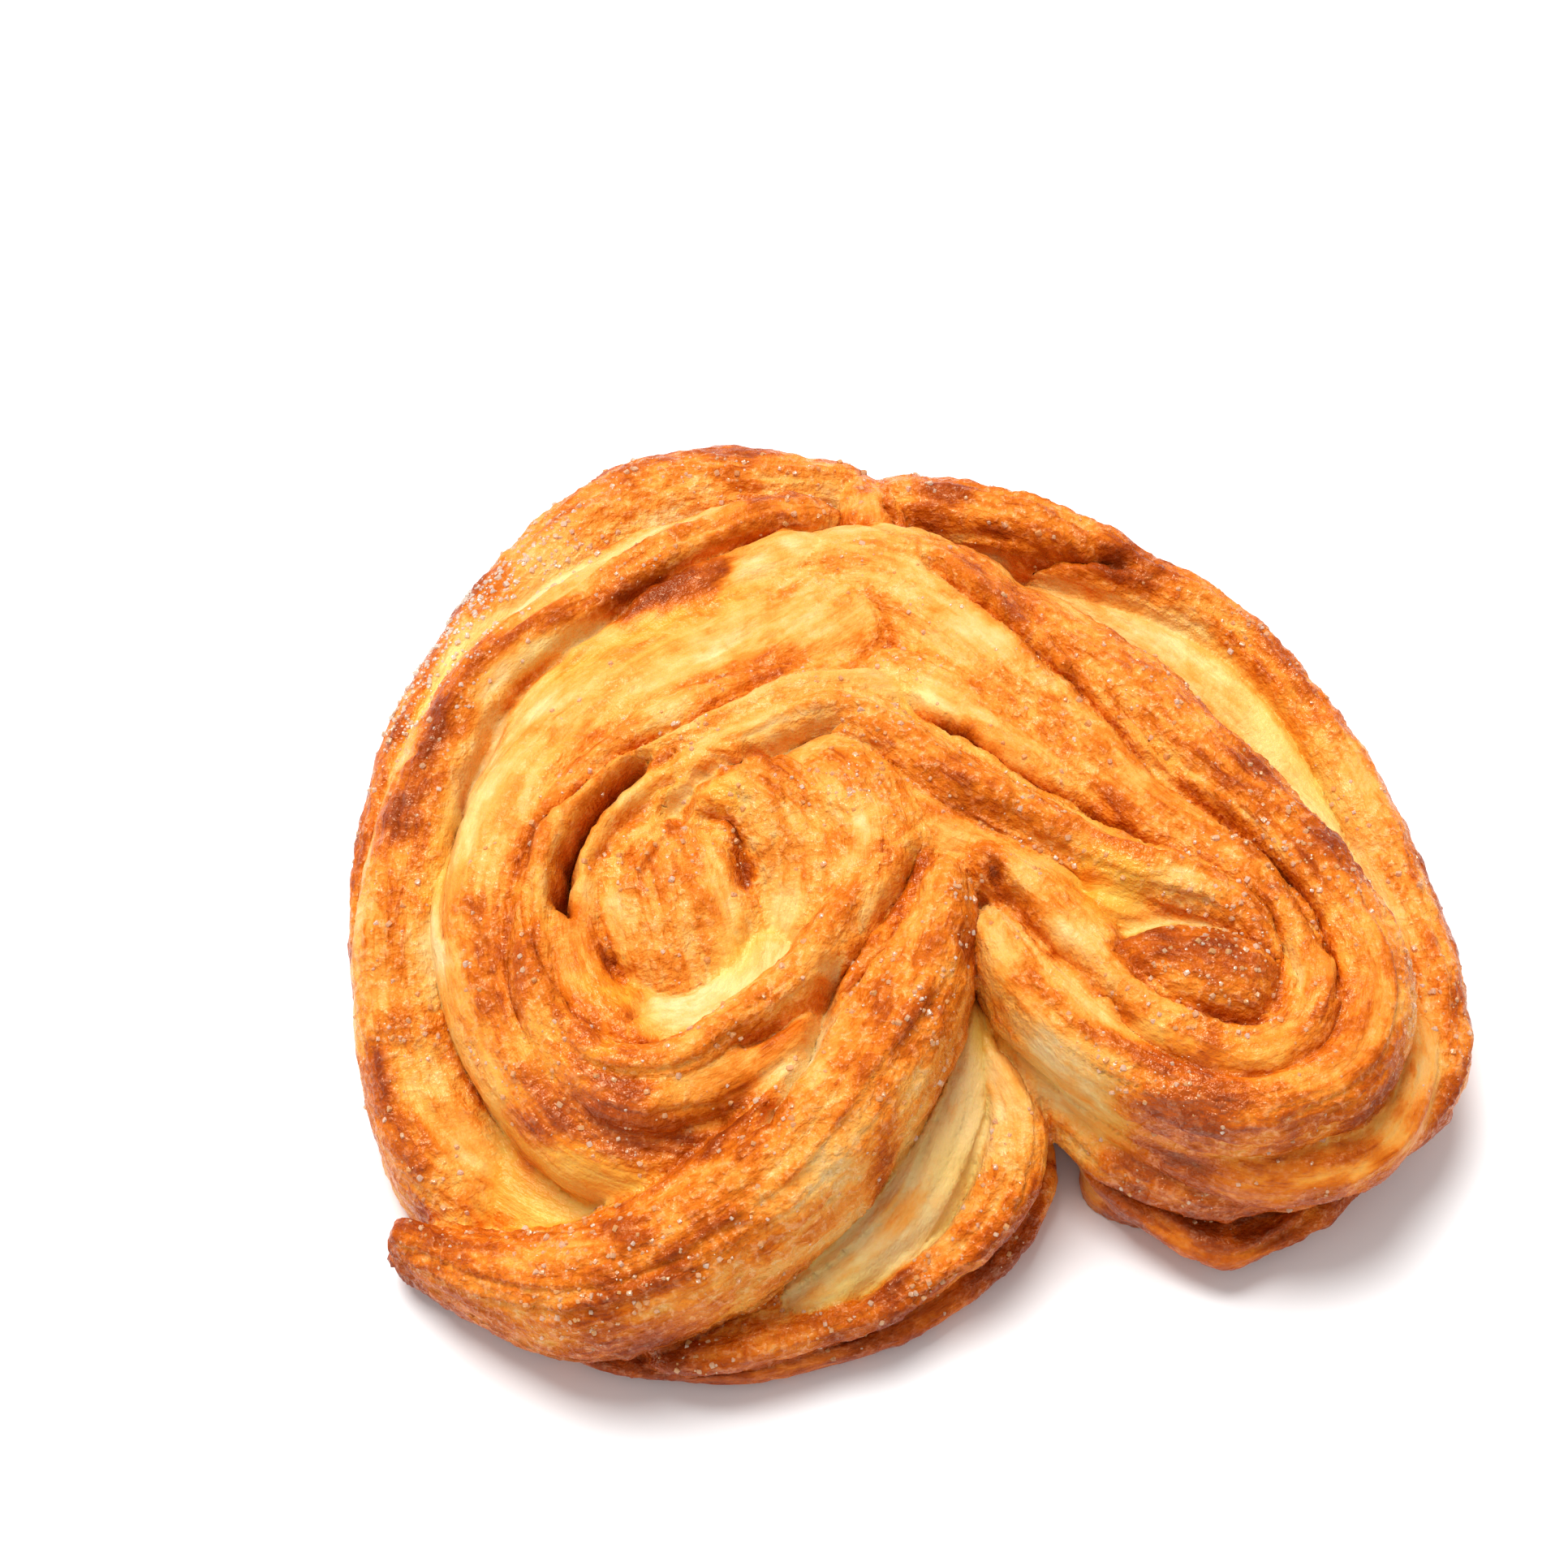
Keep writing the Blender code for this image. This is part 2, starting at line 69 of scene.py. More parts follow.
# Along a route, in plan, the values of a fold are spaced evenly: crest height, half width, rise above the
# widest level, outward lean in degrees. depth is its reach below the widest level, crown and foot are the
# powers of its section above and below it, ends the lengths over which it rounds off, and edge the side of
# the route that its outer edge lies on. bake is how brown its crust is, from 0 to 1, and tilt_brown how
# much browner its outer edge is than its inner one. creases is the browning along its outer and inner foot,
# which where it darkens is partly painted shade in the crease. grain scales its torn fibres, and sugared
# its rough sugary crust.
FOLDS = {
    "outer_rim": dict(
        route=[(-4, 65.5), (-17, 65), (-31, 64.2), (-53, 46), (-69, 9), (-62.4, -28), (-54.2, -38)],
        crest=(24, 28, 28, 25.5, 19.5, 11), half_width=(4, 7, 6, 5, 5), rise=(6, 8, 8, 6),
        lean=(0, 10, 15, 15), depth=13, foot=2.0, ends=(6, 12), edge=RIGHT_EDGE,
        bake=(0.64, 0.54, 0.4, 0.44, 0.48, 0.48, 0.54), tilt_brown=0.3, creases=(0.15, -0.5), grain=0.7,
        sugared=1.0),
    "inner_rim": dict(
        route=[(-9, 58), (-17, 56), (-27, 50), (-59, 21), (-58, -30), (-50, -37)],
        crest=(27, 31.5, 32, 32, 30, 26, 19.5, 14), half_width=(2, 6, 6.2, 6, 7, 9),
        rise=(4, 7, 7, 7, 7, 7), lean=(0, -20, -15, -5, 0, 0), depth=18, crown=2.5, edge=RIGHT_EDGE,
        bake=(0.7, 0.62, 0.5, 0.46, 0.42, 0.36, 0.28, 0.22), tilt_brown=0.16, creases=(-0.5, -0.5),
        sugared=0.8),
    "wide_sheet": dict(
        route=[(4, 49), (-4, 46), (-13, 39), (-43, 16), (-51, -4), (-36, -32), (-26, -33), (-11, -17),
               (0, -2)],
        crest=(29, 33, 33.5, 31, 28, 32.5), half_width=(6, 12, 13, 11.5, 11.5, 12, 9, 3.5),
        rise=(6, 6, 10, 6), lean=(0, 6, 8, 8, 12, 20, 10, 0), depth=20, crown=3.0, edge=RIGHT_EDGE,
        bake=(0.12, 0.32, 0.36, 0.32, 0.32, 0.5, 0.66, 0.56), tilt_brown=-0.25, creases=(0.0, 0.1),
        grain=0.5, sugared=0.55),
    "sheet_edge": dict(
        route=[(-10, 51.5), (-15.5, 49.5), (-26, 44.5), (-36, 36.5), (-50, 21.5), (-55, 3), (-56, -12)],
        crest=(30, 31.6, 31, 29.5, 27.3, 24), half_width=(3, 5.5, 5.5, 5.5), rise=(5,), depth=18, crown=3.0,
        edge=RIGHT_EDGE, bake=(0.12, 0.08, 0.1), creases=(0.1, 0.0), grain=0.4, sugared=0.1),
    "coil": dict(
        route=[(3, 33), (-6, 33), (-15, 30), (-46, 6), (-43, -24), (-35, -28), (-16, -19), (-8, -12),
               (2, 4)],
        crest=(28.5, 34, 35, 34, 32.5, 34, 34), half_width=(3, 5, 4, 5, 5, 3), rise=(7, 7, 7, 7, 5),
        lean=(0, -5, -10, -5, 10, 5, 0), depth=15, crown=1.7, edge=RIGHT_EDGE,
        bake=(0.3, 0.38, 0.48, 0.56, 0.58, 0.62, 0.56, 0.5), creases=(0.0, 0.1), grain=1.2, sugared=0.7),
    "coil_foot": dict(
        route=[(-50, 2), (-49, -10), (-44.5, -23), (-36, -31), (-27, -29.5), (-17, -22.5), (-9, -13)],
        crest=(30.5, 32, 32.8, 33, 32.5), half_width=(2.5, 3.6, 3.8, 3.2), rise=(4,), depth=12,
        edge=RIGHT_EDGE, bake=(0.34, 0.4, 0.5, 0.56, 0.55), creases=(0.0, 0.1), grain=0.9),
    "coil_lip": dict(
        route=[(-45, -18), (-40, -26), (-31, -27.5), (-24, -23), (-14, -14), (-5, 0), (1, 7)],
        crest=(32.5, 35, 36, 36, 35.5), half_width=(1.8, 2.4, 2.6, 2.0), rise=(3, 4, 3), depth=12,
        edge=RIGHT_EDGE, bake=(0.5, 0.55, 0.62, 0.6, 0.5), grain=1.2, sugared=0.9),
    "band": dict(
        route=[(0, 26.5), (-15, 24.5), (-27, 19.5), (-35, 15.5), (-42, 10), (-46.5, 4.5), (-47.5, -2),
               (-47, -9), (-43, -15)],
        crest=(34, 35.5, 35, 34.5, 33.5, 32), half_width=(3, 3.2, 2.6, 1.9, 2.2, 2.6), rise=(3, 4, 4),
        depth=14, edge=RIGHT_EDGE, bake=(0.4, 0.34, 0.4, 0.45, 0.5, 0.5), tilt_brown=-0.1,
        creases=(-0.1, 0.2), grain=0.9, sugared=0.7),
    "belly": dict(
        route=[(-57, -21), (-46, -34), (-34, -38), (-21, -34)],
        crest=(15, 16.5, 21), half_width=(8, 10, 8), rise=(7, 8), depth=14, edge=RIGHT_EDGE,
        bake=(0.25, 0.06, 0.02), grain=0.6, sugared=0.1),
    "mound": dict(
        route=[(-33, 10), (-30, -2), (-26, -16)],
        crest=(33, 34.5, 31), half_width=(7, 12, 12.5, 9), rise=(7, 8, 7), depth=14, crown=2.2, ends=(8, 8),
        edge=RIGHT_EDGE, bake=(0.48, 0.45, 0.42, 0.22), creases=(0.05, 0.2), sugared=0.8),
    "mound_top": dict(
        route=[(-32, 11), (-21, 10), (-14, 1), (-16, -12)],
        crest=(34.8, 36, 34.6, 31), half_width=(6, 8.5, 8, 6), rise=(6,), depth=14, crown=2.4,
        edge=RIGHT_EDGE, bake=(0.42, 0.43, 0.4, 0.2), grain=0.9, sugared=0.8),
    "basin": dict(
        route=[(-40, -14), (-36, -21), (-28, -22), (-20.5, -16), (-18.5, -7)],
        crest=(30.5, 30.5, 31.3, 32), half_width=(5, 6.5, 5.5, 4), rise=(5,), depth=14, crown=2.6,
        edge=RIGHT_EDGE, bake=(0.42, 0.22, 0.18, 0.18, 0.18), creases=(0.1, 0.2), grain=1.1, sugared=0.2),
    "mound_flap": dict(
        route=[(-14, 16.5), (-8, 8.5), (-7, -1), (-14, -14)],
        crest=(35, 36.5, 35, 31.5), half_width=(5.5, 10.5, 10, 4.5), rise=(6, 7, 6), depth=14,
        edge=RIGHT_EDGE, bake=(0.34, 0.4, 0.36, 0.2), creases=(0.2, 0.3), grain=0.7, sugared=1.0),
    "arch": dict(
        route=[(-42, -6), (-42, 0), (-37, 8), (-21, 20), (-10, 22.5), (6, 11), (26, 0), (42, -8),
               (45, -14)],
        crest=(31, 34.5, 36, 37, 36.5, 34), half_width=(2, 4, 4.5, 4.5, 4, 3), rise=(5, 6, 5), depth=16,
        crown=1.7, edge=RIGHT_EDGE, bake=(0.36, 0.34, 0.42, 0.5, 0.52, 0.5), creases=(0.2, 0.25), grain=1.3,
        sugared=0.9),
    "arch_foot": dict(
        route=[(-34, 7), (-11, 16), (5, 6), (32, -6)],
        crest=(32, 34.3, 33), half_width=(6, 7, 4.5), rise=(6, 6, 5), depth=16, edge=RIGHT_EDGE,
        bake=(0.2, 0.1, 0.5, 0.56), creases=(0.2, 0.0), grain=0.7, sugared=0.4),
    "tail": dict(
        route=[(4, 2), (3, -7), (-26, -46), (-36, -50), (-66.3, -39.6)],
        crest=(35, 35, 26.5, 12), half_width=(3, 9.5, 9.5, 1.6), rise=(6, 12, 14, 12, 4),
        lean=(0, 10, 10, 0), depth=11, foot=2.0, ends=(5, 3), edge=LEFT_EDGE,
        bake=(0.5, 0.52, 0.48, 0.52, 0.6, 0.66), tilt_brown=0.04, creases=(0.15, -0.2), grain=1.3,
        sugared=0.9),
    "under_tail": dict(
        route=[(6, -10), (5, -24), (-7, -45), (-17, -51)],
        crest=(23, 12), half_width=(3, 7, 6), rise=(6,), lean=(0, 0, 15, 20), depth=14, edge=LEFT_EDGE,
        bake=(0.0, -0.2, -0.15, 0.1), creases=(0.1, 0.0), grain=1.3, sugared=0.3),
    "upper_layer": dict(
        route=[(7, -6), (10, -18), (14, -28.5), (13.6, -36.3), (-0.6, -49.6), (-23, -57.4), (-34, -58.4)],
        crest=(20, 20.5, 13.5, 11, 9), half_width=(2.5, 4.5, 4, 3.5, 2.5), rise=(6, 8, 7),
        lean=(0, 5, 40, 45, 45, 45), depth=10, edge=LEFT_EDGE, bake=(0.15, 0.2, 0.5, 0.85, 0.85, 0.8),
        tilt_brown=0.1, creases=(0.3, -0.2), grain=1.2, sugared=0.9),
    "lowest_layer": dict(
        route=[(15, -22), (17, -30), (13.2, -39.8), (1.8, -49.6), (-27, -57.4), (-50, -51), (-57.5, -44)],
        crest=(10, 5, 4.5, 4.5, 4.5), half_width=(3,), rise=(5, 7, 7), lean=(20, 50, 55, 55, 55), depth=10,
        foot=2.0, edge=LEFT_EDGE, bake=(0.6, 0.78, 0.9, 0.9, 0.85), creases=(0.3, 0.2), sugared=0.3),
    "right_rim": dict(
        route=[(-8, 63.5), (1, 61), (10, 59.5), (20, 55.5), (41.3, 44.3), (62.8, 11), (65.5, -25),
               (57, -32.5), (38, -38), (12, -20), (8, -8)],
        crest=(25, 28, 25, 21, 19, 18, 17, 15.5, 17, 24), half_width=(4, 5, 5, 5, 5, 5, 4.5, 4.5, 3),
        rise=(6, 8, 8, 8, 9, 8), lean=(0, 10, 10, 15, 35, 45, 20), depth=14, edge=LEFT_EDGE,
        bake=(0.55, 0.55, 0.6, 0.52, 0.44, 0.46, 0.6, 0.66, 0.64, 0.42, 0.1), tilt_brown=0.12,
        creases=(0.2, -0.35), grain=1.1, sugared=0.8),
    "valley": dict(
        route=[(7, 60), (23, 50), (35, 41), (63, -5.5), (62, -18)],
        crest=(20, 21.5, 16.5, 15), half_width=(5, 8.5, 8.5), rise=(6,), lean=(0, 10), depth=16, crown=2.4,
        edge=LEFT_EDGE, bake=(0.25, 0.06, 0.04, 0.08), creases=(-0.05, 0.05), grain=0.5, sugared=0.1),
    "outer_loop": dict(
        route=[(1, 50), (35, 20), (51, 0), (57, -19), (54, -27), (45, -32), (11, -12), (8, -4)],
        crest=(28, 32.5, 34, 34.5, 34.5, 33.5, 33, 32.5, 32.5, 33.5, 33),
        half_width=(2.5, 6.5, 6.5, 6, 6.5, 6.5, 6.5, 3.5), rise=(5, 9, 9, 9, 10, 10, 8),
        lean=(0, 0, 5, 5, 20, 20, 5), depth=14, foot=2.2, edge=LEFT_EDGE,
        bake=(0.6, 0.46, 0.42, 0.46, 0.54, 0.56, 0.5, 0.36, 0.25), creases=(-0.2, 0.15), grain=1.2,
        sugared=0.7),
    "inner_loop": dict(
        route=[(-20, 43), (-12, 46), (33, 7), (41, 1), (49, -14), (47, -22), (41, -25.4), (33, -22.4),
               (13, -2), (6, 3)],
        crest=(29, 33.5, 34.5, 34, 34.5, 35.5), half_width=(6, 10.5, 8, 4, 4.5, 5, 3), rise=(6, 7, 6, 6, 5),
        depth=18, crown=2.4, edge=LEFT_EDGE, bake=(0.15, 0.22, 0.36, 0.46, 0.4, 0.5, 0.5, 0.42),
        tilt_brown=-0.05, creases=(0.2, 0.2), grain=0.8, sugared=0.65),
    "loop_foot": dict(
        route=[(-6, 32.5), (2, 26.5), (11.5, 18), (23, 8.5)],
        crest=(33, 34.2, 34.2, 33.2), half_width=(3.5, 5.4, 5.2, 3.4), rise=(5,), depth=14, crown=2.6,
        edge=LEFT_EDGE, bake=(0.32, 0.36, 0.4, 0.42), creases=(0.1, 0.2), grain=0.9, sugared=0.7),
    "front_wall": dict(
        route=[(65, -12), (64.5, -23), (58, -34.5), (45, -38.5), (27, -31.5), (12, -19)],
        crest=(19, 20.5, 21, 21.5, 21), half_width=(3, 4, 4.5, 4, 2.5), rise=(5,),
        lean=(25, 45, 50, 50, 30), depth=14, crown=2.4, edge=LEFT_EDGE, bake=(0.42, 0.46, 0.46, 0.36, -0.1),
        tilt_brown=0.1, creases=(0.1, 0.0), grain=1.5, sugared=0.3),
    "eye": dict(
        route=[(23.8, -11.8), (30, -12.8), (37, -15.3), (44.6, -17.6)],
        crest=(34, 36.4, 36.6, 35.2), half_width=(0.9, 5.1, 6.5, 5.2), rise=(4, 6, 7, 6), depth=14,
        crown=2.2, ends=(2, 4), edge=LEFT_EDGE, bake=(0.84, 0.84, 0.78, 0.7), tilt_brown=0.1, grain=0.8,
        sugared=0.9),
    "eye_bed": dict(
        route=[(24, -5), (31, -10), (41, -12), (46, -18)],
        crest=(31, 32, 31), half_width=(5, 7, 8.5, 5), rise=(6,), depth=14, ends=(4, 4), edge=LEFT_EDGE,
        bake=(-0.05, -0.15, -0.1), grain=0.6, sugared=0.1),
    "front_layer": dict(
        route=[(18.5, -22), (21.3, -29.5), (29.5, -38), (39.5, -42.8), (48.2, -38.6), (61.5, -26),
               (68.5, -14)],
        crest=(12, 9, 6.5, 6.5, 7.5), half_width=(2, 3.5, 3.5, 3.5), rise=(6, 8, 8, 8),
        lean=(20, 50, 55, 55, 55), depth=10, foot=2.0, edge=RIGHT_EDGE, bake=(0.5, 0.66, 0.7, 0.55),
        creases=(0.25, 0.3), sugared=0.3),
    "pinch": dict(
        route=[(-12, 67.5), (-6, 62), (-5, 54), (-7, 47)],
        crest=(20, 26, 28, 28), half_width=(3, 4.5, 6), rise=(5,), depth=12, edge=LEFT_EDGE,
        bake=(0.65, 0.6, 0.4), creases=(0.2, 0.2), grain=0.9),
    "side_layer": dict(
        route=[(-53.5, -38), (-67.5, -12), (-67, 16), (-52.5, 45), (-29, 64), (0, 63), (30.3, 52.4),
               (54.5, 31.5), (69, 0.5), (68, -16)],
        crest=(12, 15, 17, 18, 17, 14, 12), half_width=(4.5,), rise=(9,), lean=(50, 60, 50), depth=12,
        foot=2.0, edge=LEFT_EDGE, bake=(0.72, 0.6, 0.5, 0.48), creases=(0.2, -0.1), sugared=0.4),
    "back_layer": dict(
        route=[(-54.5, -39.5), (-69.5, -10), (-68, 20), (-52.5, 49), (-29, 67), (0, 65), (30, 54.4),
               (56.5, 31.5), (71.5, -4), (69, -19)],
        crest=(6, 7.5, 8, 8, 7, 6), half_width=(4,), rise=(9,), lean=(50, 55, 50), depth=12, foot=2.0,
        edge=LEFT_EDGE, bake=(0.72, 0.62, 0.56, 0.55), creases=(0.25, 0.1), sugared=0.2),
}

# The mass of dough under the folds, as squat domes: middle, half axes, turn, height
CORES = [
    ((-32, 10), (32, 43), 10, 22),
    ((-30, -36), (27, 16), -15, 14),
    ((35, 5), (28, 38), 35, 20),
    ((40, -26), (19, 9), 12, 13),
    ((0, 34), (38, 24), 0, 21),
    ((3, -10), (17, 25), 0, 15),
]


def smooth_through(points, place, wanted):
    """Values on the cubic through each point at its place. Its tangent at a point is
    the mean of the slopes on either side, each weighted by the other gap, and at an
    end it is the one that leaves the cubic unbent there."""
    gap = np.diff(place)[:, None]
    slope = np.diff(points, axis=0) / gap
    tangent = np.empty_like(points)
    tangent[1:-1] = (slope[:-1] * gap[1:] + slope[1:] * gap[:-1]) / (gap[1:] + gap[:-1])
    tangent[0] = 1.5 * slope[0] - 0.5 * (tangent[1] if len(points) > 2 else slope[0])
    tangent[-1] = 1.5 * slope[-1] - 0.5 * (tangent[-2] if len(points) > 2 else slope[-1])
    first = np.clip(np.searchsorted(place, wanted, side="right") - 1, 0, len(place) - 2)
    span = gap[first]
    t = (wanted - place[first])[:, None] / span
    return ((1 + 2 * t) * (1 - t) ** 2 * points[first] + t * (1 - t) ** 2 * span * tangent[first]
            + t * t * (3 - 2 * t) * points[first + 1] + t * t * (t - 1) * span * tangent[first + 1])


def running_length(points):
    """Distance along a row of points: the running sum of the steps between them."""
    return np.concatenate([[0.0], np.cumsum(np.linalg.norm(np.diff(points, axis=0), axis=1))])


DENSE = 400
FEWEST_RINGS = 5


def even_route(route, step):
    """Points at even steps along the smooth curve through a route, and their distances."""
    route = np.array(route, float)
    place = running_length(route)
    dense_place = np.linspace(0, place[-1], DENSE)
    dense_length = running_length(smooth_through(route, place, dense_place))
    count = max(FEWEST_RINGS, int(round(dense_length[-1] / step)) + 1)
    length = np.linspace(0, dense_length[-1], count)
    return smooth_through(route, place, np.interp(length, dense_length, dense_place)), length


def along(values, count):
    """A few evenly spaced values as a smooth run of count values."""
    values = np.array(values, float)[:, None]
    if len(values) == 1:
        return np.full(count, values[0, 0])
    return smooth_through(values, np.linspace(0, 1, len(values)), np.linspace(0, 1, count))[:, 0]


def headings(middle):
    """The direction of travel at each step of a route, of length 1."""
    ahead = np.gradient(middle, axis=0)
    return ahead / np.linalg.norm(ahead, axis=1)[:, None]


POINTS_AT_ONCE = 20000


def nearest_step(points, middle):
    """For each point, the number of the nearest step of a route in plan."""
    nearest = np.empty(len(points), int)
    route = middle[None].astype(np.float32)
    for start in range(0, len(points), POINTS_AT_ONCE):
        part = slice(start, start + POINTS_AT_ONCE)
        away = points[part, None, :2].astype(np.float32) - route
        nearest[part] = np.argmin(np.einsum("ijk,ijk->ij", away, away), axis=1)
    return nearest


class Fold:
    """One fold, with its values at even steps along its route."""

    def __init__(self, route, crest, half_width, rise, depth, edge, lean=(0,), crown=2.0, foot=3.0,
                 ends=(6, 6), bake=(0.5,), tilt_brown=0.0, creases=(0.1, 0.1), grain=1.0, sugared=0.5):
        self.middle, self.length = even_route(route, RING_STEP)
        count = len(self.middle)
        self.crest, self.half_width, self.rise, self.bake = (
            along(values, count) for values in (crest, half_width, rise, bake))
        self.tilt = np.radians(along(lean, count))
        self.depth, self.crown, self.foot = depth, crown, foot
        self.ahead = headings(self.middle)
        self.outwards = np.stack([self.ahead[:, 1], -self.ahead[:, 0]], axis=1) * edge
        into_end = np.minimum(self.length / ends[0], (self.length[-1] - self.length) / ends[1]).clip(0, 1)
        self.size = END_SIZE + (1 - END_SIZE) * np.sqrt(1 - (1 - into_end) ** 2)
        self.drop = self.rise * (self.size + END_SINK * (1 - self.size))
        self.tilt_brown, self.creases, self.grain, self.sugared = tilt_brown, creases, grain, sugared

    def grid(self):
        """Section points: across = w cos(a)^(2/n), up = h sin(a)^(2/n), turned by the
        lean about the crest, and set out sideways from the route."""
        angle = np.linspace(0, 2 * np.pi, SECTION_POINTS, endpoint=False)
        power = np.where(np.sin(angle) >= 0, 2 / self.crown, 2 / self.foot)
        across = np.sign(np.cos(angle)) * np.abs(np.cos(angle)) ** power
        up = np.sign(np.sin(angle)) * np.abs(np.sin(angle)) ** power
        side = (self.half_width * self.size)[:, None] * across
        height = np.where(up > 0, self.rise[:, None], self.depth) * self.size[:, None] * up
        below = height - self.drop[:, None]
        tilt = self.tilt[:, None]
        out = side * np.cos(tilt) + below * np.sin(tilt)
        level = below * np.cos(tilt) - side * np.sin(tilt) + self.crest[:, None]
        x = self.middle[:, :1] + self.outwards[:, :1] * out
        y = self.middle[:, 1:] + self.outwards[:, 1:] * out
        return np.dstack([x, y, level])

    def place_of(self, points):
        """For each point: the nearest step of the route, the distance along it, the
        distance round the section from its crest, the place across it (-1 and 1 at the
        edges), and the gap to the fold's surface, (F - 1) times the lesser of its half
        width w and its rise h, where F = (|across / w|^n + |up / h|^n)^(1/n)."""
        nearest = nearest_step(points, self.middle)
        offset = points[:, :2] - self.middle[nearest]
        forward = (offset * self.ahead[nearest]).sum(axis=1)
        out = (offset * self.outwards[nearest]).sum(axis=1)
        level = points[:, 2] - self.crest[nearest]
        tilt = self.tilt[nearest]
        side = out * np.cos(tilt) - level * np.sin(tilt)
        up = out * np.sin(tilt) + level * np.cos(tilt) + self.drop[nearest]
        size = self.size[nearest]
        width = self.half_width[nearest] * size
        reach = np.where(up > 0, self.rise[nearest], self.depth) * size
        power = np.where(up > 0, self.crown, self.foot)
        share = (np.abs(side / width) ** power + np.abs(up / reach) ** power) ** (1 / power)
        past_end = np.maximum(np.abs(forward) - RING_STEP, 0)
        gap = (share - 1) * np.minimum(width, self.rise[nearest] * size) + past_end
        fallen = np.where(up > 0, np.maximum(reach - up, 0), 0)
        round_it = np.sign(side) * (np.hypot(side, fallen) + np.maximum(-up, 0))
        return nearest, self.length[nearest] + forward, round_it, side / width, gap


CORE_RINGS = 24
CORE_SIDES = 64
CORE_SIDE_POWER = 0.4
CORE_TOP_POWER = 0.8
CORE_BELOW_SOLE = 1.0
CORE_TIP = 0.03


def core_grid(centre, half_axes, turn, height):
    """A squat dome, widest at the sole: x and y shrink by sin(a)^0.4, z grows by cos(a)^0.8."""
    round_it = np.linspace(0, 2 * np.pi, CORE_SIDES, endpoint=False)
    down_it = np.linspace(CORE_TIP, np.pi - CORE_TIP, CORE_RINGS)[:, None]
    spread = np.sin(down_it) ** CORE_SIDE_POWER
    x = half_axes[0] * np.cos(round_it) * spread
    y = half_axes[1] * np.sin(round_it) * spread
    share = np.sign(np.cos(down_it)) * np.abs(np.cos(down_it)) ** CORE_TOP_POWER
    level = -CORE_BELOW_SOLE + (height + CORE_BELOW_SOLE) * share
    c, s = np.cos(np.radians(turn)), np.sin(np.radians(turn))
    return np.dstack([centre[0] + x * c - y * s, centre[1] + x * s + y * c, level * np.ones_like(x)])


def closed_faces(rows, sides, first):
    """Quads between rows of points that close round, and the two end caps."""
    row, side = np.meshgrid(np.arange(rows - 1), np.arange(sides), indexing="ij")
    here = first + row * sides + side
    beside = first + row * sides + (side + 1) % sides
    faces = np.stack([here, beside, beside + sides, here + sides], axis=-1).reshape(-1, 4)
    last = first + (rows - 1) * sides
    return faces.tolist() + [list(range(first + sides - 1, first - 1, -1)), list(range(last, last + sides))]


def outward(grid):
    """The grid with its rows' points in the order that makes its faces point out."""
    ring, after = grid[len(grid) // 2], grid[len(grid) // 2 + 1]
    middle = ring.mean(axis=0)
    turn = np.cross(ring - middle, np.roll(ring, -1, axis=0) - middle).sum(axis=0)
    return grid if turn @ (after.mean(axis=0) - middle) > 0 else grid[:, ::-1]


# In the oven the folds swell against one another and bake into one skin. It is
# as fine as the thinnest laps of the crust.
VOXEL = 0.52


def swollen_together(grids):
    """One closed skin round all the grids, as points in millimetres and quads: they
    are cut off at the sole, joined, and remeshed at the voxel size."""
    parts, faces, first = [], [], 0
    for grid in grids:
        rows, sides, _ = grid.shape
        part = outward(grid).reshape(-1, 3)
        parts.append(np.column_stack([part[:, :2], np.maximum(part[:, 2], 0)]))
        faces += closed_faces(rows, sides, first)
        first += rows * sides
    mesh = bpy.data.meshes.new("folds")
    mesh.from_pydata(np.concatenate(parts).tolist(), [], faces)
    piece = bpy.data.objects.new("folds", mesh)
    bpy.context.scene.collection.objects.link(piece)
    remesh = piece.modifiers.new("skin", "REMESH")
    remesh.mode = "VOXEL"
    remesh.voxel_size = VOXEL
    skin = bpy.data.meshes.new_from_object(piece.evaluated_get(bpy.context.evaluated_depsgraph_get()))
    co = np.empty(len(skin.vertices) * 3, np.float32)
    skin.vertices.foreach_get("co", co)
    corners = np.empty(len(skin.loops), np.int32)
    skin.loops.foreach_get("vertex_index", corners)
    bpy.data.objects.remove(piece)
    bpy.data.meshes.remove(mesh)
    bpy.data.meshes.remove(skin)
    return co.reshape(-1, 3).astype(float), corners.reshape(-1, 4)


folds = [Fold(**values) for values in FOLDS.values()]
points, quads = swollen_together([fold.grid() for fold in folds] + [core_grid(*core) for core in CORES])

# The neighbours of a point, for smoothing: each edge is met once in each direction
edge_from = quads.ravel()
edge_to = np.roll(quads, -1, axis=1).ravel()


def summed_at(where, values, count):
    """The sum of the rows of values that belong to each of count points."""
    return np.stack([np.bincount(where, column, count) for column in values.T], axis=1)


def smoothed(values, rounds, share=0.5):
    """Each value moved towards the mean of its neighbours, again and again."""
    count = len(values)
    valence = np.maximum(np.bincount(edge_from, minlength=count), 1)[:, None]
    share = np.broadcast_to(np.asarray(share, float), (count,))[:, None]
    for _ in range(rounds):
        values = values + share * (summed_at(edge_from, values[edge_to], count) / valence - values)
    return values


def point_normals(co):
    """Mean of the normals of the faces round each point, weighted by their area."""
    a, b, c, d = (co[quads[:, k]] for k in range(4))
    area = np.cross(c - a, d - b)
    total = summed_at(quads.ravel(), np.repeat(area, 4, axis=0), len(co))
    return total / np.maximum(np.linalg.norm(total, axis=1), 1e-12)[:, None]


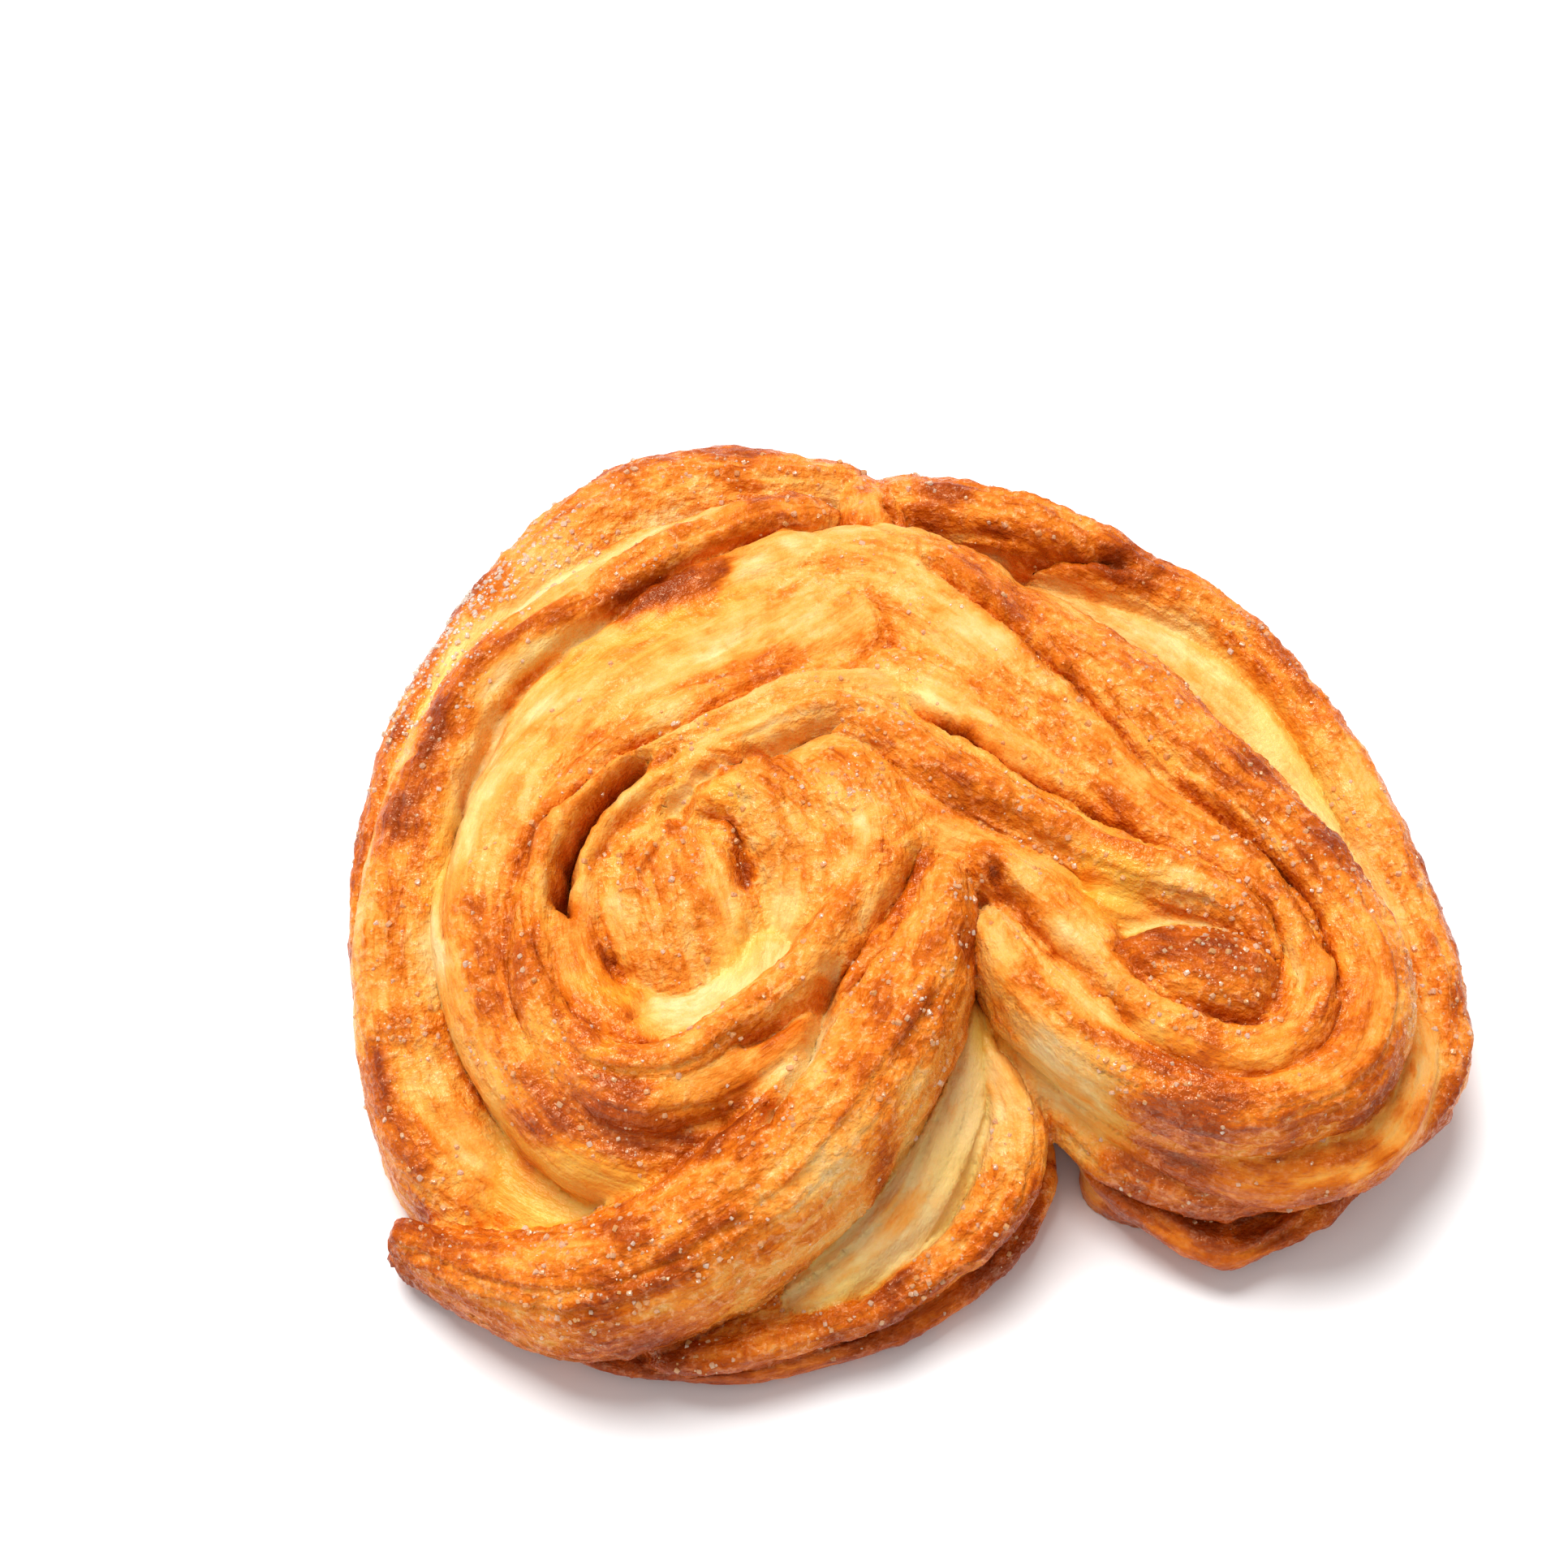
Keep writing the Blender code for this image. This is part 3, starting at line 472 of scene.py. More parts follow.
def lattice(x, y, z, seed):
    """A number from -1 to 1 for each whole place and seed, always the same one: they are
    multiplied by large odd numbers, joined by exclusive or, and their bits stirred."""
    mix = (x * 73856093) ^ (y * 19349663) ^ (z * 83492791) ^ (seed * 26544357)
    mix = (mix ^ (mix >> 13)) * 1274126177 & 0x7FFFFFFF
    mix = (mix ^ (mix >> 15)) * 668265263 & 0x7FFFFFFF
    return (mix ^ (mix >> 14)) % 65536 / 32767.5 - 1


def noise(x, y, z, seed):
    """Smooth noise from -1 to 1: the numbers at the lattice's eight corners round a
    place, blended along each axis by 3t^2 - 2t^3."""
    x, y, z = np.broadcast_arrays(x, y, z)
    cell = [np.floor(v).astype(np.int64) for v in (x, y, z)]
    t = [v - c for v, c in zip((x, y, z), cell)]
    t = [3 * v ** 2 - 2 * v ** 3 for v in t]
    total = np.zeros(x.shape)
    for corner in range(8):
        step = [(corner >> k) & 1 for k in range(3)]
        weight = np.prod([tk if sk else 1 - tk for tk, sk in zip(t, step)], axis=0)
        total += weight * lattice(*(c + sk for c, sk in zip(cell, step)), seed)
    return total


def lumps(places, size, seed):
    """Noise with lumps of one size, in millimetres, at places in space."""
    return noise(*(places.T / size), seed)


def rise_between(low, high, values):
    """0 below low, 1 above high, and a smooth step between."""
    t = np.clip((values - low) / (high - low), 0, 1)
    return t * t * (3 - 2 * t)


# Each point's place on every fold, and the two folds it lies nearest to
SOLE_SNAP = 0.45
points[points[:, 2] < SOLE_SNAP, 2] = 0.0
on_sole = points[:, 2] <= 0
all_steps, all_runs, all_rounds, all_shares, all_gaps = (
    np.stack(found) for found in zip(*(fold.place_of(points) for fold in folds)))
owner = np.argpartition(all_gaps, 1, axis=0)[:2]
owner = np.take_along_axis(owner, np.argsort(np.take_along_axis(all_gaps, owner, axis=0), axis=0), axis=0)
step, run, across, share, gap = (
    np.take_along_axis(table, owner, axis=0)
    for table in (all_steps, all_runs, all_rounds, all_shares, all_gaps))

# The grooves of the remeshed skin come out in small steps, so they are smoothed
GROOVE_REACH = 1.6
GROOVE_ROUNDS = 6
OPEN_SMOOTHING = 0.12
GROOVE_SMOOTHING = 0.4
in_groove = np.exp(-np.maximum(gap[1], 0) / GROOVE_REACH)
smoothing = np.where(on_sole, 0, OPEN_SMOOTHING + GROOVE_SMOOTHING * in_groove)
points = smoothed(points, GROOVE_ROUNDS, smoothing)

# Where two folds meet, each gives half of the look, and one alone further out
MEETING_WIDTH = 1.1
second_share = 0.5 * (1 - rise_between(0.0, MEETING_WIDTH, gap[1] - gap[0]))
weights = np.stack([1 - second_share, second_share])


def of_fold(name):
    """A value of the fold for each point, blended over its nearest two folds."""
    return (weights * np.array([getattr(fold, name) for fold in folds])[owner]).sum(axis=0)


# The slits and seams where layers part, in plan: half width, depth, the heights of the raised lips on the
# left and the right of the route, and the browning inside, which where it darkens is partly browner crust
# and partly painted shade in the slit. The widest slit, on the left lobe, is cut deep.
SLITS = [
    dict(route=[(-17, 53.5), (-28, 48), (-39, 39.5), (-47, 32.5), (-54, 23.5), (-57.5, 14), (-59, 3.5),
                (-60, -10)], half_width=0.8, depth=2.6, brown=0.3),
    dict(route=[(-3, 29), (-16, 27), (-28, 21), (-36, 17), (-43, 10.5), (-48.5, 4), (-49.5, -2)],
         half_width=0.5, depth=1.4, lips=(0.6, 0), brown=0.3),
    dict(route=[(-33.5, 16), (-38.5, 10.5), (-42, 6), (-44, 0.5), (-44.5, -4), (-43, -8)], half_width=0.95,
         depth=11, lips=(0.4, 0.5), brown=1.0),
    dict(route=[(-8.5, 21), (-17, 17), (-26.5, 12.5), (-33, 6.5)], half_width=0.9, depth=2.2,
         lips=(0, 0.8)),
    dict(route=[(-2, 25.6), (1.2, 22.7), (3.4, 20.8), (8, 17.5), (12.5, 14), (16, 11.5), (20, 9.5),
                (26, 5)], half_width=0.5, depth=2.4, lips=(0.3, 0.3), brown=0.5),
    dict(route=[(2.2, 21.6), (4.6, 19.7), (7, 18.2), (9.8, 16)], half_width=0.7, depth=3.6, lips=(0, 0.2),
         brown=0.9),
    dict(route=[(0.5, 48), (8, 40), (17, 30.5), (24, 23), (29, 16), (34, 11), (41, 5.5), (47.5, -4),
                (51.5, -14.5)], half_width=0.8, depth=2.4, lips=(0.6, 0), brown=0.25),
    dict(route=[(24.5, -13.5), (27.5, -16.8), (32, -19.8), (37, -21.8), (42, -22.2), (45, -20.5)],
         half_width=0.5, depth=1.4, lips=(0, 0.3), brown=0.5),
    dict(route=[(42.6, -7), (45.5, -10.2), (47.2, -14.8), (47.2, -20)], half_width=0.9, depth=2,
         brown=-0.6),
    dict(route=[(42, 3.7), (46, -0.4), (49.7, -6.2), (51.9, -13.1), (51.7, -19.9)], half_width=0.5,
         depth=2.2, lips=(0.3, 0.3), brown=0.4),
    dict(route=[(-28, 6.3), (-24.6, 6.4), (-22.8, 4.3), (-22, 0.2), (-20.7, -4.5)], half_width=1.1,
         depth=2.0, lips=(0.6, 0.4), brown=0.7),
    dict(route=[(-24, 10), (-21.5, 5), (-20, 0)], half_width=1.2, depth=1.5, lips=(0.4, 0.2), brown=-0.3),
    dict(route=[(-22.2, -6), (-21.4, -10.2), (-22.2, -14.2), (-23.8, -18.5)], half_width=0.9, depth=0.5,
         lips=(0.4, 0.4), brown=-0.3),
    dict(route=[(8.5, -15), (12.2, -21.5), (16, -27), (19, -31)], half_width=0.9, depth=2, brown=0.3),
    dict(route=[(-19.5, 14.7), (-25.6, 11.4), (-30.7, 6.7), (-34.8, 2.6), (-37.8, -2.1)], half_width=0.7,
         depth=1.1, lips=(0.8, 0.3), brown=0.3),
    dict(route=[(-28.2, 13.8), (-33.4, 10.2), (-37.4, 6.1), (-39.9, 2), (-41.3, -2.7)], half_width=0.7,
         depth=1.0, lips=(0.6, 0.3), brown=0.3),
    dict(route=[(-28, 8), (-32, 3), (-35, -4)], half_width=0.7, depth=1.0, lips=(0.6, 0.3), brown=0.3),
    dict(route=[(-39.8, -9.8), (-37.1, -14), (-34.7, -12.7)], half_width=0.8, depth=1.2, lips=(0.4, 0.2),
         brown=0.5),
    dict(route=[(-36, -15), (-34.6, -18), (-37.5, -22)], half_width=0.9, depth=1.4, lips=(0.4, 0.4),
         brown=0.2),
    dict(route=[(-16, 9), (-11, 4), (-8.5, -2)], half_width=1.3, depth=0.9, lips=(0.3, 0.3), brown=0.1),
    dict(route=[(-9.5, -12.5), (-11.5, -18.5), (-13, -24), (-16.4, -31), (-21, -36.5)], half_width=1.0,
         depth=4.0, lips=(0.4, 0.4), brown=-0.55),
    dict(route=[(1, 4), (-4.5, -7.5), (-10, -15.5), (-15.5, -21), (-23.5, -26)], half_width=0.8, depth=2.4,
         lips=(0, 0.3), brown=0.3),
    dict(route=[(-48.5, 0.5), (-49, -7.5), (-46.5, -15.5), (-41.5, -23.5)], half_width=0.6, depth=1.3,
         lips=(0.3, 0.3), brown=0.2),
    dict(route=[(1, 51.5), (7.5, 50.5), (18.5, 51.5), (31, 49.5)], half_width=0.8, depth=2.4, lips=(0.4, 0),
         brown=0.4),
    dict(route=[(-4, 61.5), (-2, 56), (0.5, 52.5)], half_width=0.8, depth=1.6, lips=(0.3, 0.3), brown=0.2),
    dict(route=[(-8, 55), (-3.5, 53), (0, 50.5)], half_width=0.6, depth=1.4, lips=(0.3, 0.3), brown=0.1),
    dict(route=[(3.5, 9), (11.5, 5), (19.5, -1), (22.5, -6)], half_width=1.5, depth=1.6, lips=(0, 0.3),
         brown=0.1),
    dict(route=[(8, 1), (10, -2.5), (13, -6.5), (17, -11.5), (22, -16.5), (27, -23)], half_width=0.8,
         depth=1.8, lips=(0.5, 0.3), brown=0.5),
    dict(route=[(7.5, -31), (5, -37.5), (-5, -47), (-9, -51)], half_width=1.0, depth=1.6, brown=-0.3),
]

# Long bands of the crust that stay pale, where it stretched as the bun rose, or
# that brown more, where it stood out
BANDS = [
    dict(route=[(-20.7, 59.6), (-30.3, 53.6), (-39.3, 48.5), (-48.5, 43.5), (-57, 37.5), (-63, 28.5),
                (-66.8, 15.4)], half_width=1.5, depth=0.8, brown=-0.75),
    dict(route=[(-14.5, 54.8), (-24.5, 47.8), (-34.4, 42.8), (-43.4, 38.6), (-50.4, 35), (-56.6, 29.6),
                (-60.8, 22.8), (-63.7, 13.9), (-64.6, 5.9)], half_width=2.1, depth=-0.4, brown=0.36),
    dict(route=[(12, -13), (18, -21), (28, -26.5), (38, -29)], half_width=1.6, depth=0.3, brown=0.45),
    dict(route=[(-41, 37.2), (-34, 40.6), (-28, 43.6), (-22, 47)], half_width=2.2, brown=0.9),
    dict(route=[(6, 56), (18, 52.9), (27, 49), (34, 45)], half_width=1.8, brown=0.45),
    dict(route=[(-34, 41.4), (-47.3, 33.9), (-53.5, 28.6), (-55.8, 21.9), (-58.1, 13.1), (-60, 2.9),
                (-61.5, -6), (-60.6, -16.5)], half_width=1.5, brown=-0.4),
    dict(route=[(-56, -2), (-56, -11), (-54.7, -20), (-50.5, -29), (-43, -34), (-34, -36), (-23, -35),
                (-16.4, -30)], half_width=4.2, brown=0.42),
    dict(route=[(-69.6, -16), (-68, -23), (-65, -29.5), (-60.5, -36.5)], half_width=2.0, brown=0.6),
]
CREASE_STEP = 0.5
CREASE_FADE = 3.5
CREASE_FADE_SHARE = 0.45
NARROWEST_SHARE = 0.45
WOBBLE = 0.45
FINE_WOBBLE = 0.18
WOBBLE_LENGTH = 2.6
FINE_WOBBLE_LENGTH = 0.9
LIP_AWAY = 2.2
LIP_WIDTH = 1.3
LIP_PALER = 0.16
BROWN_MEAN = 0.9
BROWN_UNEVEN = 0.35


def crease_shift(seed, route, half_width, depth=0.0, lips=(0, 0), brown=0.0):
    """Height and browning that one slit or band adds: -depth exp(-(d/w)^2) in it, and lip exp(-((d -
    2.2w)/(1.3w))^2) beside it, fading out at both ends. Its line wobbles, and its browning, which in a slit
    is partly painted shade, is uneven."""
    middle, length = even_route(route, CREASE_STEP)
    reach = CREASE_FADE + CREASE_STEP + 2 * half_width
    low, high = middle.min(axis=0) - reach, middle.max(axis=0) + reach
    near = np.flatnonzero(((points[:, :2] > low) & (points[:, :2] < high)).all(axis=1) & ~on_sole)
    nearest = nearest_step(points[near], middle)
    offset = points[near, :2] - middle[nearest]
    ahead = headings(middle)[nearest]
    forward = (offset * ahead).sum(axis=1)
    left = ahead[:, 0] * offset[:, 1] - ahead[:, 1] * offset[:, 0]
    travelled = length[nearest]
    left += WOBBLE * noise(travelled / WOBBLE_LENGTH, 0.5, seed, 51)
    left += FINE_WOBBLE * noise(travelled / FINE_WOBBLE_LENGTH, 0.5, seed, 52)
    fade = min(CREASE_FADE, CREASE_FADE_SHARE * length[-1])
    into_end = np.minimum(travelled, length[-1] - travelled) / fade
    strength = rise_between(0, 1, into_end) * np.exp(-np.maximum(np.abs(forward) - CREASE_STEP, 0) ** 2)
    width = half_width * (NARROWEST_SHARE + (1 - NARROWEST_SHARE) * strength)
    inside = np.exp(-(left / width) ** 2)
    left_lip = np.exp(-((left / width - LIP_AWAY) / LIP_WIDTH) ** 2)
    right_lip = np.exp(-((left / width + LIP_AWAY) / LIP_WIDTH) ** 2)
    height, browning = np.zeros(len(points)), np.zeros(len(points))
    height[near] = strength * (lips[0] * left_lip + lips[1] * right_lip - depth * inside)
    uneven = BROWN_MEAN + BROWN_UNEVEN * noise(travelled / 6, left / 2.5, seed, 54)
    beside = left_lip * (lips[0] > 0) + right_lip * (lips[1] > 0)
    browning[near] = strength * (brown * inside * uneven - LIP_PALER * beside)
    return height, browning


# Heights and browning of all the slits and bands; the darkening in the slits is partly painted shade
crease_height, crease_brown_and_shade = (np.sum(part, axis=0) for part in zip(
    *(crease_shift(seed, **values) for seed, values in enumerate(SLITS + BANDS))))

# Where one fold lies against the next, a sharp seam, darker than the folds: partly browner crust and partly
# painted shade in the crease. Folds that only fill a hollow run into their neighbours without one.
WITHOUT_SEAM = {"sheet_edge", "mound_top", "basin", "arch_foot", "eye_bed", "belly", "front_wall",
                "coil_lip", "coil_foot", "loop_foot", "band"}
SEAM_WIDTH = 0.5
SEAM_DEPTH = 0.9
SEAM_REACH = 1.5
SEAM_BROWN_AND_SHADE = 0.3
SEAM_MEAN = 0.75
SEAM_UNEVEN = 0.6
LOWEST_CREASE = 0.3
LAST_SMOOTHING = 0.25
seamed = np.array([name not in WITHOUT_SEAM for name in FOLDS])[owner].all(axis=0)
seam = seamed * np.exp(-((gap[1] - gap[0]) / SEAM_WIDTH) ** 2 - (np.maximum(gap[1], 0) / SEAM_REACH) ** 2)
seam *= np.clip(SEAM_MEAN + SEAM_UNEVEN * lumps(points, 6, 53), 0, 1)
# The seam's darkening is partly browner crust and partly painted shade in the crease
crease_brown_and_shade += SEAM_BROWN_AND_SHADE * seam
level = np.maximum(points[:, 2] + crease_height - SEAM_DEPTH * seam, LOWEST_CREASE)
points[:, 2] = np.where(on_sole, 0, level)
points = smoothed(points, 1, np.where(on_sole, 0, LAST_SMOOTHING))

# How brown each fold bakes, on its crest, its two flanks and its two feet; a foot that darkens beside a
# crease is partly painted shade
FOOT_REACH = 1.8
own = np.concatenate([fold.bake for fold in folds])
first_step = np.concatenate([[0], np.cumsum([len(fold.bake) for fold in folds])[:-1]])
foot_brown_and_shade = np.array([fold.creases for fold in folds])
foot = np.where(share > 0, foot_brown_and_shade[owner, 0], foot_brown_and_shade[owner, 1])
foot = foot * rise_between(0.5, 0.95, np.abs(share)) * np.exp(-np.maximum(gap[1], 0) / FOOT_REACH)
tilt_brown = np.array([fold.tilt_brown for fold in folds])[owner] * np.clip(share, -1, 1)
bake = (weights * (own[first_step[owner] + step] + tilt_brown + foot)).sum(axis=0) + crease_brown_and_shade

# Scorched and pale places of the crust, and places browned to paint shade in notches and grooves or paled
# to paint light into shaded hollows, in plan: x, y, radius, how much browner
PLACES = [
    (-49, -12, 5, 0.12), (-56, 45, 5, 0.2), (-63, 34, 5, 0.25), (-67, 26, 4, 0.2), (-65, 8, 3, 0.3),
    (-66, -17, 3, 0.25), (-21, 0, 3, 0.1), (-37, -15, 4, -0.1), (-24, -18, 6, -0.2), (-34, -23, 5, -0.1),
    (-40, -12, 2.4, 0.25), (-24, 9, 3, -0.2), (3, 58, 6, 0.25), (-2, 61, 4, 0.1), (25, 50, 7, 0.12),
    (-29, 43, 4, 0.15), (-32, 35, 6, 0.12), (-12, -24, 4, -0.2), (-14, -28, 3, -0.2), (-60, -40, 6, 0.2),
    (-42, -48, 8, 0.12), (57, -15, 8, 0.1), (52, -30, 7, 0.1), (24, -4, 5, -0.4), (36, -31, 7, 0.12),
    (38, -37, 6, 0.25), (27, 1, 5, 0.1), (-20, 61, 7, 0.1), (56, 18, 6, -0.15), (12, -40, 5, 0.15),
    (29, -11, 4, 0.15), (-13.4, -43, 6, -0.25), (-7.4, -37.6, 5, -0.2), (-23.4, -54, 5, -0.3),
    (2, -43.5, 4, -0.3), (21.5, -23.6, 5, -0.15), (11.3, -4, 3.5, -0.05), (18, -10, 3, -0.2),
    (1.4, 24.7, 4, -0.4), (10.6, 16.2, 4, -0.2), (-35, 10.8, 4, -0.3), (-44, -3.4, 3, -0.2),
    (-21.4, -13.8, 4, -0.2), (-9.8, 60.7, 3, -0.4), (61.6, -8.8, 4, -0.15), (63.4, -17.7, 4, -0.2),
    (-10, 33, 7, -0.15), (8.4, 45.8, 4, 0.3), (14.6, 39.5, 4, 0.2), (30.6, 52.9, 5, 0.2),
    (41.7, 13.8, 6, 0.28), (52.2, -1.6, 5, 0.2), (43.4, -27.8, 6, 0.05), (53.5, -32.3, 5, 0.2),
    (-8.3, -23.3, 4, 0.2), (-7.4, -31.8, 4, 0.2), (1.8, -22, 4, 0.15), (-33.2, -51, 5, 0.1),
    (-23.3, -49.7, 5, 0.15), (36, -43, 4, 0.2), (-69.4, 25, 4, 0.2), (-68.8, 8, 4, 0.2),
    (-70.3, -8.6, 4, 0.15), (36.5, 31.4, 6, 0.1), (34, -3, 5, -0.25), (-26, 53, 5, -0.2),
    (-46, 45, 5, -0.25), (-32, 21.2, 4, -0.35), (8.9, -0.6, 3.5, 0.2), (6.2, -21.5, 3, -0.3),
    (-0.2, -31.4, 4, -0.25), (6, -39, 5, -0.2), (-47, -33, 4, 0.25), (-25.9, 36.4, 3, 0.3),
    (26, 55.1, 4, -0.2), (-2.2, 60.8, 3.5, -0.3), (-13, 65, 5, -0.25), (39.7, 42, 4, -0.2),
    (22.3, 24.2, 5, -0.1), (31.5, 21.5, 4, -0.1), (50.4, 3.9, 4, 0.2), (-3.1, -0.4, 3, 0.25),
    (2, -2.2, 3, -0.2), (17.4, 1.8, 3.5, -0.15), (4.2, 10.7, 4, 0.2), (-2.5, -39.3, 3.5, 0.85),
    (2.9, -44.1, 3.5, -0.2), (-16.4, -54.1, 4, -0.25), (-46.3, -52.7, 5, -0.2), (47.1, -37.8, 5, 0.2),
    (53.9, -23.2, 5, 0.2), (53.4, -4.3, 3, -0.2), (42.6, -26, 4, -0.25), (16, -24.1, 4, -0.2),
    (-4.6, 45.5, 6, 0.1), (-41.7, -38.5, 6, -0.2), (22, -29, 5, -0.25), (15.5, -24, 4, -0.2),
    (-24.5, -35.5, 4, 0.15), (-38, -30.5, 4, 0.2), (-30.5, -33.3, 4, -0.15), (-47.6, -20.8, 4, -0.15),
    (-34.5, -54, 4.5, 0.3), (-26.8, -51.5, 4, 0.2), (-32.4, 46.5, 3.5, -0.3), (-49.2, 38.6, 4, -0.25),
    (30.1, 46.6, 4, -0.25), (9.5, 55, 3.5, -0.4), (4, 59.5, 4, 0.2), (-47, 39.6, 4, -0.3),
    (-69, 18, 4, 0.15), (9.1, 40.9, 3.5, 0.3), (28, 22.5, 4, 0.05), (29.5, -26.3, 4, -0.2),
    (-51, -31.5, 4, -0.1), (7.2, 3.7, 3.5, 0.25), (20.4, 0.5, 4, 0.15), (30, -17, 4, -0.2),
    (20.5, -13.8, 4, -0.2), (54.3, -0.2, 4, 0.2), (33.5, -31.4, 4, 0.2), (48.9, -34.2, 4, -0.2),
    (61.5, -21.5, 4, -0.15), (-69, -13, 4, -0.12), (6.3, -12, 2.2, 0.5), (39, -36, 5, -0.2),
    (27, -35.3, 4, 0.3), (-19.5, -31.5, 3.5, -0.2), (-53.5, -30, 4, -0.15), (-13, -8, 4, 0.15),
    (-26, -1, 4, 0.12), (-2.3, -34.1, 3, -0.15), (8, -41.5, 3, 0.2), (-7.4, -23.1, 3.5, 0.25),
    (-44, 0.5, 3, -0.25), (-40.4, -5.3, 3, -0.3), (-36, 9.8, 3, -0.2), (-67.8, -7.7, 3.5, -0.15),
]
FOLD_APART = 3.1


def pooled(places, plan):
    """The sum over places of amount exp(-(d / radius)^2), d in plan, at every point."""
    total = np.zeros(len(plan))
    for place_x, place_y, radius, amount in places:
        total += amount * np.exp(-((plan[:, 0] - place_x) ** 2 + (plan[:, 1] - place_y) ** 2) / radius ** 2)
    return total


streaky = noise(run / 17, across / 4.5, owner * FOLD_APART, 31)
streaky += 0.6 * noise(run / 7, across / 2.0, owner * FOLD_APART, 34)
patch = 0.6 * lumps(points, 11, 32) + (weights * streaky).sum(axis=0)
# The places lay on scorch and paleness, and also painted shade and painted light
bake += pooled(PLACES, points) * (1 + 0.6 * patch)

# The crust is crumbly where it was sugared, and the more so the browner it baked
crumbly = rise_between(0.1, 0.6, 0.55 * of_fold("sugared") + 0.6 * (bake - 0.25) + 0.3 * patch)

# Hollows where melted sugar has run together and set, in plan: x, y, radius, how much
SYRUP_PLACES = [
    (-24.6, 8.4, 3.5, 1), (-23, -12, 4, 0.5), (-46, -34, 11, 0.7), (24, -4, 5, 1), (29, -30, 8, 0.6),
    (47, 32, 12, 0.5), (-38, -33, 7, 0.6), (5, -35, 5, 0.5), (38, -37, 8, 0.6), (26, 1, 5, 0.5),
    (-38, -16, 4, 0.7), (10, -16, 4, 0.4),
]
syrup = 0.35 * rise_between(-0.4, 0.9, lumps(points, 8, 35)) * (1 + in_groove) + 0.3 * in_groove
syrup += pooled(SYRUP_PLACES, points)


def streaks(u, v, layer):
    """Torn fibres along a fold: ridged noise, long along the route and narrow across."""
    wander = 1.4 * noise(u / 9, v / 7, layer * 7.3, 11)
    broad = 1 - 2 * np.abs(noise(u / 30, (v + wander) / 3.4, layer * 3.7, 12))
    narrow = 1 - 2 * np.abs(noise(u / 12, (v + wander) / 1.3, layer * 5.1, 13))
    patchy = 0.6 + 0.7 * noise(u / 14, v / 6, layer * 2.9, 14)
    return (0.5 * broad + 0.5 * narrow) * np.clip(patchy, 0.1, 1.3)


LAP_SPACING = 3.1
LAP_RISE_PART = 0.86


def laps(u, v, layer):
    """Thin layers that lap over one another along a fold: across it the height climbs
    slowly, then falls off sharply, like a saw's teeth; each lap fades in and out."""
    phase = v / LAP_SPACING + 0.9 * noise(u / 34, v / 9, layer * 1.7, 15)
    phase += 0.3 * noise(u / 8, v / 4, layer, 16)
    lap = np.floor(phase)
    part = phase - lap
    tooth = np.where(part < LAP_RISE_PART, part / LAP_RISE_PART, (1 - part) / (1 - LAP_RISE_PART))
    strength = np.clip(0.45 + 1.1 * noise(u / 22, lap * 0.73, layer * 2.3, 17), 0, 1)
    return (tooth - 0.5) * strength


# The relief: soft swellings of the dough, laps and torn fibres along each fold,
# and a crumbly, blistered crust where sugar lay on it
LAP_HEIGHT = 0.75
STREAK_HEIGHT = 0.5
SWELL_HEIGHT = 0.6
CRUST_HEIGHT = 0.36
BLISTER_HEIGHT = 0.24
LEAST_CRUST = 0.3
FLAT_UP_TO = 4.0
ABOVE_SOLE = 0.02
plain = points
fibre = (weights * streaks(run, across, owner)).sum(axis=0) * of_fold("grain")
lapped = (weights * laps(run, across, owner)).sum(axis=0) * of_fold("grain")
swell = lumps(plain, 11, 21) + 0.6 * lumps(plain, 5.5, 22)
crags = lumps(plain, 2.6, 23)
blisters = 1 - 2 * np.abs(lumps(plain, 1.5, 24))
crust_share = LEAST_CRUST + (1 - LEAST_CRUST) * crumbly
height = (LAP_HEIGHT * lapped + STREAK_HEIGHT * fibre + SWELL_HEIGHT * swell
          + crust_share * (CRUST_HEIGHT * crags + BLISTER_HEIGHT * blisters))
height *= rise_between(0.0, FLAT_UP_TO, plain[:, 2]) * (1 - 0.4 * in_groove)
points = plain + point_normals(plain) * height[:, None]
points[:, 2] = np.where(on_sole, 0, np.maximum(points[:, 2], ABOVE_SOLE))

# Browning comes on most where the crust stands proud, and spares what is hidden.
# The foot of the bun and its sole lie against the hot tray.
RAW_DOUGH = -0.25
SOLE_BROWN = 0.7
TRAY_BROWN = 0.2
TRAY_REACH = 6.0
PROUD_BROWN = 0.09
PROUD_HEIGHT = 1.2
ROUGH_BROWN = 0.10
ROUGH_HEIGHT = 0.2
PATCH_BROWN = 0.14
normals = point_normals(points)
proud = ((points - smoothed(points, 40)) * normals).sum(axis=1)
rough = ((points - smoothed(points, 4)) * normals).sum(axis=1)
bake += PROUD_BROWN * np.clip(proud / PROUD_HEIGHT, -1.2, 1.2)
bake += ROUGH_BROWN * np.clip(rough / ROUGH_HEIGHT, -1.5, 1.5)
bake += PATCH_BROWN * patch + TRAY_BROWN * (1 - rise_between(0.0, TRAY_REACH, plain[:, 2]))
bake = np.where(on_sole, SOLE_BROWN, np.clip(bake, RAW_DOUGH, 1))
syrup = np.where(on_sole, 0, np.clip(syrup, 0, 1))

